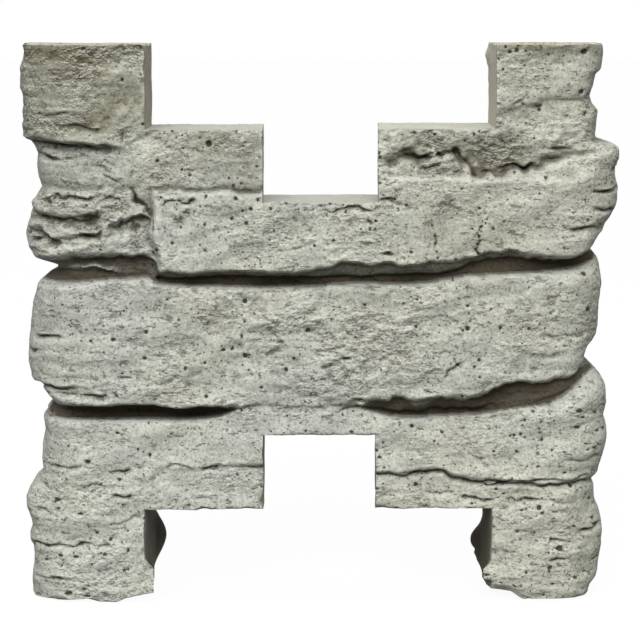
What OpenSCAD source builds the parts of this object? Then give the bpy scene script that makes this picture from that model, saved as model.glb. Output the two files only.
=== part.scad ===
// Rock-faced block of cast concrete with stepped, toothed ends, cast in one piece.
// It stands on its two feet, with its stone face towards -Y and its flat back towards +Y.
// The origin is the middle of the underside, +X is to the right of the face and +Z is up.

/* [Block] */
// Width over the stone ends
block_w = 418; // [400:1:460]
// Height from the feet to the horn tops
block_h = 388; // [380:1:430]
// Thickness from the flat back to the proudest stone
block_t = 100; // [84:1:140]

/* [Toothed ends] */
// Width of one tooth: a slot is one tooth wide and a notch is three
tooth_w = 80; // [64:1:88]
// Depth of the notch in the crown
crown_notch_d = 58; // [40:1:76]
// Depth of the slot below the floor of the crown notch
crown_slot_d = 51; // [30:1:64]
// Depth of the notch between the feet
foot_notch_d = 65; // [40:1:76]
// Depth of the slot above the roof of the foot notch
foot_slot_d = 53; // [30:1:64]

/* [Stone face] */
// How far the proudest stone stands out of the joints
relief = 28; // [16:1:36]
// Height of the open joints, as a share of the standard ones
joint_open = 1; // [0.4:0.05:1.3]
// Rounding of the stones at the joints, as a share of the standard one
rounding = 1; // [0.5:0.05:1.3]
// Height of the lumps on the stones, as a share of the standard one
lumpiness = 1; // [0:0.1:1.5]
// Radius of the slab's front corners, under the stones
corner_r = 20; // [12:1:30]

/* [Hidden] */

concrete_grey = [0.62, 0.62, 0.57];

// The slab is what is left with every stone cut back to the joints.
slab_w = block_w - 2 * relief;
slab_t = block_t - relief;
back_y = block_t / 2;
slab_front_y = back_y - slab_t;

// A position s runs along the slab's outline, from the middle of the face to either back arris.
face_half = slab_w / 2 - corner_r;
corner_len = corner_r * PI / 2;
end_len = slab_t - corner_r;
reach = face_half + corner_len + end_len;

// The stone pattern is drawn on a block of this size and stretched over the real one.
drawn_reach = 245;
drawn_h = 388;
drawn_relief = 28;

// Joints between the courses, from the lowest up. Each has the upper edge of the stones below
// it, the lower edge of the stones above it, and the stand of its floor: [position, value].
joint_below = [
    [[-245, 73], [-200, 74], [-185, 77], [-150, 78], [-128, 81], [-112, 93], [-40, 95],
        [40, 91.5], [57, 89], [75, 92], [90, 87], [131, 83], [174, 80.5], [245, 77]],
    [[-245, 127], [-100, 127], [-71, 130], [-45, 139], [0, 139], [21, 138], [34, 134],
        [49, 130], [90, 130], [126, 134], [160, 138], [172, 151], [190, 160.5], [245, 160.5]],
    [[-245, 222], [-175, 223], [-141, 226], [-121, 227.5], [-113, 222.5], [-48, 219.5],
        [-13, 219], [6, 221], [62, 222], [106, 227.5], [161, 230], [175, 233], [190, 242],
        [245, 243]],
    [[-245, 283], [-200, 286], [-180, 290], [-96, 289], [-46, 286.5], [35, 307], [56, 309.5],
        [92, 314], [105, 300], [121, 299], [132, 305], [141, 300], [158, 308], [178, 317],
        [245, 316]],
    [[-245, 315.5], [-190, 319], [-143, 315.5], [-128, 321], [-115, 329], [-40, 333],
        [40, 333], [120, 339], [150, 347], [190, 349], [245, 347.5]]];
joint_above = [
    [[-245, 74], [-200, 75], [-185, 78], [-150, 79], [-128, 82], [-112, 94], [-40, 96],
        [40, 92.5], [57, 90], [75, 93], [90, 88], [131, 84], [174, 81.5], [245, 78]],
    [[-245, 139], [-195, 141], [-172, 138], [-57, 138], [-37, 142], [0, 140], [21, 144],
        [42, 141.5], [85, 140], [116, 142.5], [133, 153.5], [154, 152], [167, 157.5],
        [186, 165], [245, 163.5]],
    [[-245, 233], [-186, 237], [-148, 241], [-120, 242], [-116, 234], [-112, 229],
        [-27, 227.5], [43, 228], [69, 228.5], [87, 230.5], [106, 235.5], [120, 238.5],
        [166, 238], [176, 243], [190, 247.5], [245, 247]],
    [[-245, 284], [-200, 287], [-180, 291], [-96, 290], [-46, 287.5], [35, 308], [56, 310.5],
        [92, 315], [105, 301], [121, 300], [132, 306], [141, 301], [158, 309], [178, 318],
        [245, 317]],
    [[-245, 316.5], [-190, 320], [-143, 316.5], [-128, 322], [-115, 330], [-40, 334],
        [40, 334], [120, 340], [150, 348], [190, 350], [245, 348.5]]];
joint_stands = [
    [[-245, 14], [-180, 15], [-40, 16], [40, 13], [60, 12], [190, 11], [245, 10]],
    [[-245, 2], [-175, 4], [-165, 0], [-85, 0], [-62, 12], [-45, 18], [5, 18], [25, 10],
        [40, 2], [110, 2], [125, 9], [165, 8], [185, 2], [245, 1]],
    [[-245, 0], [-180, 0], [-165, 4], [-113, 0], [165, 0], [190, 4], [245, 4]],
    [[-245, 14], [-120, 13], [-40, 15], [40, 11], [56, 8], [115, 7], [150, 8], [190, 12],
        [245, 12]],
    [[-245, 12], [-140, 9], [-126, 14], [40, 13], [245, 12]]];

// Stand of each course's stones out of the slab, from the feet up: [position, stand].
stone_stands = [
    [[-245, 20], [-160, 19], [-40, 18], [40, 15], [165, 16], [190, 14], [245, 14]],
    [[-245, 11], [-190, 12], [-165, 16], [-120, 19], [120, 20], [190, 19], [245, 18]],
    [[-245, 21], [-190, 22], [-160, 24.5], [-60, 26], [40, 26.5], [120, 26], [150, 23],
        [190, 14], [245, 13]],
    [[-245, 22], [-190, 22], [-150, 20], [-124, 17], [-119, 12], [-112, 22], [-60, 26.5],
        [70, 26.5], [84, 22.5], [120, 23.5], [190, 27], [245, 27]],
    [[-245, 15], [-110, 15], [-40, 16], [40, 14], [100, 12], [170, 13.5], [245, 12]],
    [[-245, 27], [-190, 26], [-150, 22], [-120, 20], [-100, 17], [40, 15], [150, 16],
        [245, 15]]];

// Height of the rounding above each course's lower edge and below its upper edge. The feet and
// the horn tops are cut square.
lower_rounds = [
    [[-245, 0.5], [245, 0.5]],
    [[-245, 5], [-40, 3], [245, 4]],
    [[-245, 12], [-180, 8], [-60, 4], [90, 6], [140, 7], [190, 12], [245, 14]],
    [[-245, 14], [-185, 9], [-150, 6], [-116, 3], [-13, 4], [13, 14], [62, 9], [140, 4],
        [190, 10], [245, 12]],
    [[-245, 6], [-40, 3], [40, 5], [245, 6]],
    [[-245, 5], [-140, 4], [-120, 8], [245, 8]]];
upper_rounds = [
    [[-245, 14], [-150, 10], [-120, 5], [40, 4], [245, 6]],
    [[-245, 16], [-170, 12], [-60, 10], [120, 9], [170, 16], [245, 20]],
    [[-245, 18], [-180, 14], [-130, 6], [0, 4], [130, 5], [180, 14], [245, 20]],
    [[-245, 16], [-125, 12], [-110, 6], [60, 3], [170, 5], [245, 8]],
    [[-245, 5], [245, 8]],
    [[-245, 0.5], [245, 0.5]]];

// Stand of each end of the block, where the stones' ends swell and the joints bite in:
// [height, stand]. It takes over from the stones between the first two positions here, and the
// lumps lose this share of their height on it.
end_from = 168;
end_to = 190;
end_smoothness = 0.5;
left_end = [
    [0, 23], [29, 22], [44, 23.5], [49, 21.8], [63, 26], [70, 26], [78, 22], [83, 16], [88, 13],
    [98, 15], [117, 12], [127, 14], [132, 9.5], [141, 4], [146, 11.5], [151, 18], [166, 23.5],
    [180, 23.5], [219, 17], [229, 2.5], [234, 1], [239, 18], [254, 24.5], [273, 19.5],
    [278, 19.5], [288, 13], [312, 15.5], [317, 18.5], [322, 25], [332, 26.5], [351, 25.7],
    [356, 28], [371, 28], [380, 25], [388, 26]];
right_end = [
    [0, 9], [10, 14.5], [24, 16.5], [34, 18.5], [44, 19], [68, 13.2], [82, 10], [87, 15],
    [112, 21], [127, 18.2], [137, 21], [151, 18], [161, 10.5], [165, 3], [171, 3.5], [185, 12.7],
    [224, 16.3], [234, 15], [248, 5.5], [258, 17], [273, 24.5], [288, 27], [297, 24.2],
    [308, 28], [312, 28], [317, 24.5], [321, 11], [341, 12], [351, 7.6], [366, 11], [370, 15],
    [388, 16]];

// Lumps: [degrees for each mm along, degrees for each mm up, first angle, height].
lumps = [
    [10.3, 3.1, 40, 0.9], [-4.6, 9.7, 200, 0.9], [6.9, -11.3, 110, 0.7], [2.3, 15.1, 300, 0.6],
    [-3.1, 2.2, 20, 1.0]];

// How far the stone skin and the toothed blank run past each other where one trims the other.
past = 5;

// Steps along each back end, round each corner and along the face.
end_steps = 4;
corner_steps = 6;
face_steps = 44;

// Rows of points up each course: over its lower rounding, across its face, over its upper one.
round_rises = [0, 0.12, 0.4, 1];
face_rises = [1 / 6, 2 / 6, 3 / 6, 4 / 6, 5 / 6];
course_rows = 2 * len(round_rises) + len(face_rises);

courses = len(stone_stands);
top_course = courses - 1;
columns = concat(
    [for (i = [0:end_steps - 1]) -reach - past + (end_len + past) * i / end_steps],
    [for (i = [0:corner_steps - 1]) -face_half - corner_len + corner_len * i / corner_steps],
    [for (i = [0:face_steps - 1]) -face_half + 2 * face_half * i / face_steps],
    [for (i = [0:corner_steps - 1]) face_half + corner_len * i / corner_steps],
    [for (i = [0:end_steps]) face_half + corner_len + (end_len + past) * i / end_steps]);
column_count = len(columns);
row_count = courses * course_rows;

// Front view of the blank: its right half from the crown slot round to the foot slot, then its left.
slot_edge = tooth_w / 2;
notch_edge = 3 * slot_edge;
blank_edge = block_w / 2 + past;
crown_shelf_z = block_h - crown_notch_d;
right_outline = [
    [slot_edge, crown_shelf_z - crown_slot_d], [slot_edge, crown_shelf_z],
    [notch_edge, crown_shelf_z], [notch_edge, block_h], [blank_edge, block_h], [blank_edge, 0],
    [notch_edge, 0], [notch_edge, foot_notch_d], [slot_edge, foot_notch_d],
    [slot_edge, foot_notch_d + foot_slot_d]];
left_outline = [for (i = [len(right_outline) - 1:-1:0])
    [-right_outline[i][0], right_outline[i][1]]];
outline = concat(right_outline, left_outline);

// Value of a drawn table at a position on the real block.
function drawn(table, s) = lookup(s * drawn_reach / reach, table);

// Point that stands d out of the slab's outline at a position and a height.
function skin_point(s, z, d) =
    let (
        side = sign(s),
        past_face = max(0, abs(s) - face_half),
        turn = min(90, past_face / corner_len * 90),
        past_corner = max(0, past_face - corner_len),
        r = corner_r + d)
    [side * (min(abs(s), face_half) + r * sin(turn)),
        slab_front_y + corner_r - r * cos(turn) + past_corner, z];

// Height of a joint's edge at a position: side is -1 for the stones below and 1 for those above.
function joint_edge(i, s, side) =
    let (low = drawn(joint_below[i], s), high = drawn(joint_above[i], s))
    ((low + high) / 2 + side * (high - low) / 2 * joint_open) * block_h / drawn_h;

// Lower and upper edge of a course, and where its face begins and ends between the roundings.
function course_low(c, s) = c == 0 ? -past : joint_edge(c - 1, s, 1);
function course_high(c, s) = c == top_course ? block_h + past : joint_edge(c, s, -1);
function face_low(c, s) = course_low(c, s) + drawn(lower_rounds[c], s) * rounding;
function face_high(c, s) = course_high(c, s) - drawn(upper_rounds[c], s) * rounding;

// Rows of one course at a position: [height, share of the full stand, joint that it falls to].
function quarter_round(rise) = sqrt(1 - pow(1 - rise, 2));
function course_profile(c, s) = concat(
    [for (q = round_rises)
        [course_low(c, s) * (1 - q) + face_low(c, s) * q, c == 0 ? 1 : quarter_round(q), c - 1]],
    [for (q = face_rises) [face_low(c, s) * (1 - q) + face_high(c, s) * q, 1, c - 1]],
    [for (i = [len(round_rises) - 1:-1:0]) let (q = round_rises[i])
        [course_high(c, s) * (1 - q) + face_high(c, s) * q,
            c == top_course ? 1 : quarter_round(q), min(c, top_course - 1)]]);

function lump(s, z) =
    lumpiness * [for (w = lumps) w[3] * sin(s * w[0] + z * w[1] + w[2])] * [for (w = lumps) 1];

// Stand of the finished skin, held between the slab and the proudest stone.
function stand(c, s, z, share, joint) =
    let (
        stone = drawn(stone_stands[c], s),
        floor_stand = drawn(joint_stands[max(joint, 0)], s),
        course_stand = floor_stand + (stone - floor_stand) * share,
        end_stand = lookup(z * drawn_h / block_h, s < 0 ? left_end : right_end),
        turned = max(0, min(1, (abs(s) * drawn_reach / reach - end_from) / (end_to - end_from))),
        lumps_left = share * (1 - end_smoothness * turned),
        drawn_stand = course_stand + (end_stand - course_stand) * turned + lump(s, z) * lumps_left)
    max(0, min(relief, drawn_stand * relief / drawn_relief));

// Stone skin round both ends and the face, closed past the planes of the back, top and underside.
module stone_skin() {
    profiles = [for (c = [0:top_course]) [for (s = columns) course_profile(c, s)]];
    points = [for (c = [0:top_course]) for (r = [0:course_rows - 1]) for (i = [0:column_count - 1])
        let (s = columns[i], row = profiles[c][i][r])
        skin_point(s, row[0], stand(c, s, row[0], row[1], row[2]))];
    last = column_count - 1;
    skin = [for (r = [0:row_count - 2]) for (i = [0:last - 1]) for (half = [0, 1])
        let (low = r * column_count + i, high = low + column_count)
        half == 0 ? [low, high, high + 1] : [low, high + 1, low + 1]];
    underside = [for (i = [0:last]) i];
    top = [for (i = [last:-1:0]) (row_count - 1) * column_count + i];
    back = concat(
        [for (r = [0:row_count - 1]) r * column_count + last],
        [for (r = [row_count - 1:-1:0]) r * column_count]);
    polyhedron(points, concat(skin, [underside, top, back]));
}

// Square blank with the stepped notches: it strikes the back, the feet and the horn tops flat.
module toothed_blank() {
    translate([0, back_y, 0]) rotate([90, 0, 0]) linear_extrude(block_t + past) polygon(outline);
}

// The whole block: the stone skin, held to the toothed blank.
module facing_block() {
    color(concrete_grey) intersection() {
        stone_skin();
        toothed_blank();
    }
}

facing_block();
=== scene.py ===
"""Rock-faced block of cast concrete with toothed ends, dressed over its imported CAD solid."""
import math

import bmesh
import bpy
import numpy as np
from mathutils import Matrix, Vector


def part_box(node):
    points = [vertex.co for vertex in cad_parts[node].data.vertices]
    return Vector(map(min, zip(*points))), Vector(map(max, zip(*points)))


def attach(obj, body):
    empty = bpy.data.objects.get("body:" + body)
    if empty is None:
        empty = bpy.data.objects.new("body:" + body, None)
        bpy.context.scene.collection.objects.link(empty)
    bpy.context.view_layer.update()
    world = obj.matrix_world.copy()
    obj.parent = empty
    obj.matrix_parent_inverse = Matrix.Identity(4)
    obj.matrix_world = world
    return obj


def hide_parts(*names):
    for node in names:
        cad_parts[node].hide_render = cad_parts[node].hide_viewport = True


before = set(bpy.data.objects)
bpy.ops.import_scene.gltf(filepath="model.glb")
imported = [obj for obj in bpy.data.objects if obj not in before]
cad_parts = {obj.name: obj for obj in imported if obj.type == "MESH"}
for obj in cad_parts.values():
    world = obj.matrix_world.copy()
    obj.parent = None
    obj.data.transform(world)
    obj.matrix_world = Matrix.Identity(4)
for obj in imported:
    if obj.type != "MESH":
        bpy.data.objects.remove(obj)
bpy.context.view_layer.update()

# ---------------------------------------------------------------------------------------------
# Sizes, in millimetres. The block stands on its feet with its stone face towards -Y.
# ---------------------------------------------------------------------------------------------

MM = 0.001
LOW, HIGH = (np.array(corner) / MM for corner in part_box("facing_block"))
BLOCK_W, BLOCK_T, BLOCK_H = HIGH - LOW

# The slab is what is left with every stone cut back to the joints.
RELIEF = 28.0
CORNER_R = 20.0
SLAB_W = BLOCK_W - 2 * RELIEF
BACK_Y = BLOCK_T / 2
SLAB_FRONT_Y = RELIEF - BLOCK_T / 2

# Half widths and heights of the stepped notches.
SLOT_EDGE = 40.0
NOTCH_EDGE = 120.0
CROWN_SHELF = BLOCK_H - 58.0
CROWN_FLOOR = CROWN_SHELF - 51.0
FOOT_SHELF = 65.0
FOOT_ROOF = 118.0

# A position s runs along the slab's outline, from the middle of the face to either back arris.
FACE_HALF = SLAB_W / 2 - CORNER_R
CORNER_LEN = CORNER_R * math.pi / 2
END_LEN = BLOCK_T - RELIEF - CORNER_R
REACH = FACE_HALF + CORNER_LEN + END_LEN
SHEET_EDGE = FACE_HALF + CORNER_LEN / 2
DEPTH = REACH - SHEET_EDGE

# Spacing of the mesh and of the map that shapes it, the most triangles it may keep, and how near
# two places count as one.
MESH_STEP = 1.0
WALL_STEP = 2.4
MAP_STEP = 0.6
TRIANGLE_LIMIT = 196000
TOLERANCE = 1e-3

# Where the face starts to take on the outlines of the ends, and over what length. The stone stays
# inside the block's outline by the clearance.
TURN_FROM = 168.0
TURN_RUN = 22.0
CLEARANCE = 0.2

# ---------------------------------------------------------------------------------------------
# Stones: joints, outlines and how far each stone stands out. Tables are (position, value).
# ---------------------------------------------------------------------------------------------

# Lower lip of each course above the joint, and shoulder of the course below it.
FOOT_LIP = [(-245, 74), (-200, 75), (-185, 78), (-170, 79.5), (-150, 79), (-128, 82), (-112, 94),
            (-40, 96), (40, 92.5), (48, 93), (57, 90), (66, 92.5), (75, 93), (84, 92), (90, 88),
            (108, 86.5), (131, 84), (160, 83), (174, 81.5), (181, 82), (190, 80), (245, 78)]
FOOT_SHOULDER = [(s, z - 0.8) for s, z in FOOT_LIP]
MIDDLE_LIP = [(-245, 139), (-195, 141), (-184, 140), (-172, 138.5), (-57, 138.5), (-45, 140),
              (-37, 141), (-20, 139), (0, 138), (12, 141), (21, 144.5), (32, 144), (42, 143),
              (56, 144), (76, 143.5), (100, 143), (112, 143.5), (118, 146), (122, 149), (127, 152.5),
              (133, 154), (145, 153.5), (154, 153), (167, 157.5), (176, 163), (186, 165), (245, 163.5)]
MIDDLE_SHOULDER = [(-245, 127), (-173, 127.5), (-130, 127.2), (-100, 127.2), (-81, 128.2),
                   (-71, 130.2), (-58, 136), (-45, 139), (-20, 140), (0, 139), (21, 138), (34, 134),
                   (49, 130.2), (67, 129.7), (90, 130.2), (111, 131.9), (126, 134), (136, 135.8),
                   (160, 138), (166, 143), (172, 151), (180, 158), (190, 160.5), (245, 160.5)]
UPPER_LIP = [(-245, 233), (-200, 235), (-186, 237.5), (-172, 238.5), (-165, 240), (-150, 240.5),
             (-138, 241), (-124, 242.4), (-119, 240), (-114, 232), (-103, 232), (-90, 231),
             (-76, 231.2), (-62, 232.6), (-48, 232), (-34, 231), (-21, 230.4), (-7, 233), (7, 234.7),
             (14, 238), (27, 237.5), (34, 236), (41, 237.5), (48, 238), (55, 235.8), (69, 236),
             (76, 237.5), (90, 238.5), (97, 241), (103, 239.5), (110, 243), (117, 243.1), (124, 244.5),
             (131, 245.9), (138, 243.1), (145, 241.7), (159, 240.3), (166, 240), (173, 245),
             (179, 248), (190, 248.5), (245, 248)]
UPPER_SHOULDER = [(-245, 222), (-187, 223), (-175, 223), (-141, 226), (-121, 227.5), (-117, 225.6),
                  (-113, 223.6), (-103, 222.2), (-83, 221.4), (-62, 220.4), (-20, 220.4), (0, 220.8),
                  (7, 222), (55, 222.6), (76, 223.8), (90, 226), (103, 228.2), (117, 229),
                  (143, 229.6), (161, 230.8), (175, 233.4), (184, 238), (190, 242), (245, 243)]
BAND_LIP = [(-245, 284), (-200, 287), (-180, 291), (-125, 290), (-108, 289), (-96, 290), (-91, 287),
            (-65, 288.7), (-46, 287.5), (-35, 290), (35, 308), (50, 308), (56, 310.5), (70, 310.2),
            (80, 313), (91, 315), (95, 312), (97, 307.5), (101, 305.5), (104, 301.5), (110, 298.8),
            (115, 300.5), (121, 300), (129, 305), (136, 306), (141, 301), (148, 306), (158, 309),
            (168, 313), (178, 318), (190, 317.5), (245, 317)]
BAND_SHOULDER = [(s, z - 1.5) for s, z in BAND_LIP]
CROWN_LIP = [(-245, 316.5), (-203, 318), (-190, 320), (-174, 320), (-161, 318.5), (-148, 318),
             (-143, 316.5), (-136, 317.5), (-128, 322), (-115, 330), (-40, 334), (40, 334), (120, 340),
             (150, 348), (190, 350), (245, 348.5)]
CROWN_SHOULDER = [(-245, 311), (-203, 312.5), (-190, 314.5), (-174, 315), (-161, 314), (-148, 314.5),
                  (-143, 314), (-136, 316), (-128, 321), (-115, 329), (-40, 333), (40, 333),
                  (120, 339), (150, 347), (190, 349), (245, 347.5)]

# Where the deep part of a joint ends and the underside of the stone over it begins.
MIDDLE_DEEP = [(-245, 135), (-190, 137), (-165, 136.5), (-60, 136), (-45, 139), (5, 139), (25, 138.5),
               (42, 135.5), (56, 134.2), (90, 134.4), (110, 135.2), (120, 138.5), (131, 139.3),
               (150, 140), (165, 144), (180, 155), (245, 158)]
UPPER_DEEP = [(-245, 229), (-170, 232), (-160, 229.5), (-124, 230), (-116, 227.5), (-103, 226.6),
              (-83, 227.6), (-50, 228.4), (-28, 227.3), (14, 227.3), (28, 226.2), (41, 228.3),
              (62, 229), (76, 229.8), (83, 230.5), (90, 232.6), (97, 234), (103, 235.4), (110, 236.8),
              (117, 238.8), (131, 239.4), (160, 238.2), (172, 240), (182, 243.5), (245, 244)]

# Stand of the floor of each joint out of the slab.
FOOT_JOINT = [(-245, 13), (-200, 15), (-185, 17), (-120, 17.5), (-40, 17), (40, 12), (60, 12),
              (190, 11), (245, 10)]
MIDDLE_JOINT = [(-245, 2), (-175, 4), (-165, 0), (-85, 0), (-62, 10), (-45, 20), (-36, 23), (2, 23),
                (14, 22), (26, 19), (34, 13), (44, 7), (60, 4), (80, 2), (110, 2), (125, 9), (150, 10),
                (165, 8), (185, 2), (245, 1)]
UPPER_JOINT = [(-245, 0), (-180, 0), (-165, 4), (-125, 2), (-113, 1), (-95, 3), (140, 3), (165, 1),
               (180, 2), (190, 4), (245, 4)]
BAND_JOINT = [(-245, 14), (-180, 13), (-120, 13), (-40, 15), (40, 13.5), (52, 12), (60, 10), (80, 10),
              (88, 8), (97, 7.5), (103, 10), (115, 10.5), (125, 9), (136, 10), (143, 9), (152, 11),
              (170, 12.5), (190, 12.5), (245, 12)]
CROWN_JOINT = [(-245, 13), (-190, 12), (-148, 11), (-136, 14), (-40, 14), (40, 13), (190, 12), (245, 12)]

# Stand of each course's stones out of the slab, from the feet up.
FOOT_STAND = [(-245, 20), (-190, 20), (-160, 19), (-120, 18), (-40, 18), (40, 15), (120, 15.5),
              (165, 16), (190, 14), (245, 14)]
LOWER_STAND = [(-245, 11), (-190, 12), (-165, 16), (-120, 19), (-60, 20), (-38, 23.5), (4, 23.5),
               (25, 20.5), (40, 19.5), (120, 20), (160, 20), (190, 19), (245, 18)]
MIDDLE_STAND = [(-245, 21), (-190, 22), (-160, 24.5), (-60, 26), (40, 26.5), (120, 26), (150, 23),
                (190, 14), (245, 13)]
UPPER_STAND = [(-245, 22), (-190, 22), (-150, 20), (-130, 17), (-121, 14), (-116.5, 13.5),
               (-112.5, 22), (-60, 26.5), (70, 26.5), (77, 25), (84, 22.5), (120, 23.5), (160, 25),
               (190, 27), (245, 27)]
BAND_STAND = [(-245, 15), (-190, 15), (-150, 14), (-110, 15), (-40, 16), (40, 14), (100, 12),
              (130, 12), (170, 13.5), (190, 13), (245, 12)]
CROWN_STAND = [(-245, 27), (-190, 26), (-155, 22), (-142, 19), (-132, 16.5), (-120, 16), (-40, 16),
               (40, 15), (120, 16), (150, 16), (190, 15), (245, 15)]

# Share of a stone's stand at the outer edge of its underside over a joint, and at the inner.
OVERHANG = {
    "middle": [(-245, 0.62), (100, 0.6), (125, 0.22), (160, 0.22), (185, 0.6), (245, 0.62)],
    "upper": [(-245, 0.62), (-185, 0.62), (-168, 0.12), (-122, 0.12), (-112, 0.62), (245, 0.62)],
}
OVERHANG_IN = 0.45

# How much lighter than its deep joint a stone's underside is painted, plain and where it hangs out
# most, over what height it lightens, and how dark a shallow joint is painted: the joints' painted shade.
UNDER_LIT = 0.1
HANG_LIT = 0.56
UNDER_FADE = 1.4
SHALLOW_JOINT = 0.2

# Radius of the rounding above the lip and below the shoulder of each course that has one.
LIP_R = {
    "lower": [(-245, 5), (-120, 4), (-40, 3), (40, 3.5), (245, 4)],
    "middle": [(-245, 12), (-180, 8), (-165, 3), (-60, 2), (-36, 9), (2, 9), (20, 3), (80, 3), (95, 7),
               (112, 7), (120, 2.5), (150, 3), (170, 8), (190, 12), (245, 14)],
    "upper": [(-245, 14), (-185, 9), (-165, 5), (-120, 3), (-112, 2), (60, 2), (140, 2), (165, 4),
              (190, 10), (245, 12)],
    "band": [(-245, 6), (-120, 5), (-40, 3), (40, 5), (245, 6)],
    "crown": [(-245, 5), (-140, 4), (-120, 8), (245, 8)],
}
SHOULDER_R = {
    "foot": [(-245, 14), (-150, 10), (-120, 5), (40, 4), (245, 6)],
    "lower": [(-245, 16), (-190, 12), (-170, 3), (-155, 0.6), (140, 0.6), (152, 3), (170, 15), (245, 20)],
    "middle": [(-245, 18), (-190, 14), (-170, 5), (-150, 0.6), (150, 0.6), (162, 4), (180, 13), (245, 20)],
    "upper": [(-245, 16), (-125, 12), (-110, 3), (-40, 3), (34, 4), (42, 16), (52, 12), (62, 5),
              (85, 4), (100, 7), (120, 5), (170, 6), (245, 8)],
    "band": [(-245, 5), (-120, 5), (245, 8)],
}

# Outline of each end, as (height, stand): where the stones' ends swell and the joints bite in.
LEFT_END = [(0, 23), (20, 22), (29, 22), (39, 23.5), (44, 23.5), (49, 21.8), (54, 22.5), (63, 26),
            (70, 26), (78, 22), (83, 16), (88, 13), (98, 15), (107, 14), (117, 12), (127, 14),
            (132, 9.5), (137, 6), (141, 4), (146, 11.5), (151, 18), (156, 21.5), (166, 23.5),
            (180, 23.5), (195, 21), (210, 19), (219, 17), (224, 12), (229, 2.5), (234, 1), (239, 18),
            (244, 22), (254, 24.5), (263, 22.5), (273, 19.5), (278, 19.5), (283, 16.5), (288, 13),
            (297, 15), (312, 15.5), (317, 18.5), (322, 25), (332, 26.5), (351, 25.7), (356, 28),
            (371, 27.5), (375, 26), (380, 24.7), (388, 26)]
RIGHT_END = [(0, 9), (5, 10.5), (10, 14.5), (15, 15.8), (24, 16.5), (34, 18.5), (44, 19), (54, 17.5),
             (63, 15.3), (68, 13.2), (78, 11.7), (82, 10), (87, 15), (98, 18), (107, 20.5), (112, 21),
             (122, 19.7), (127, 18.2), (132, 20.3), (137, 21), (146, 19.5), (151, 18), (156, 15),
             (161, 10.5), (165, 3), (171, 3.5), (176, 6.5), (180, 10.5), (185, 12.7), (195, 14),
             (210, 15.3), (224, 16.3), (234, 15), (239, 13), (244, 8.5), (248, 5.5), (254, 11.5),
             (258, 17), (263, 18.2), (268, 21.7), (273, 24.5), (278, 26.5), (288, 27), (297, 24.2),
             (302, 24.8), (308, 27), (312, 28), (317, 24.5), (321, 11), (336, 11.2), (341, 12),
             (346, 8.3), (351, 7.6), (356, 9), (366, 11), (370, 15), (380, 16.3), (388, 15.6)]

# Knocked-off lower edges of the feet, as (position across, height that is gone).
FOOT_CHIPS = [(-207, 4.5), (-202, 3.2), (-193, 0), (-170, 1.2), (-162, 2.5), (-153, 0.2), (-142, 0.4),
              (-135, 3.2), (-126, 5.0), (-117, 7.0), (117, 9.5), (121, 8.4), (134, 5.8), (138, 2.5),
              (141, 0.6), (165, 0.6), (177, 0.8), (186, 3.5), (193, 5.2), (197, 10), (206, 13)]


def line(table, s):
    """Value of a table at each position."""
    return np.interp(s, [point[0] for point in table], [point[1] for point in table])


# ---------------------------------------------------------------------------------------------
# Crevices and cracks: (points along it, depth, half width). Pits: (position, height, radius).
# ---------------------------------------------------------------------------------------------

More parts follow.
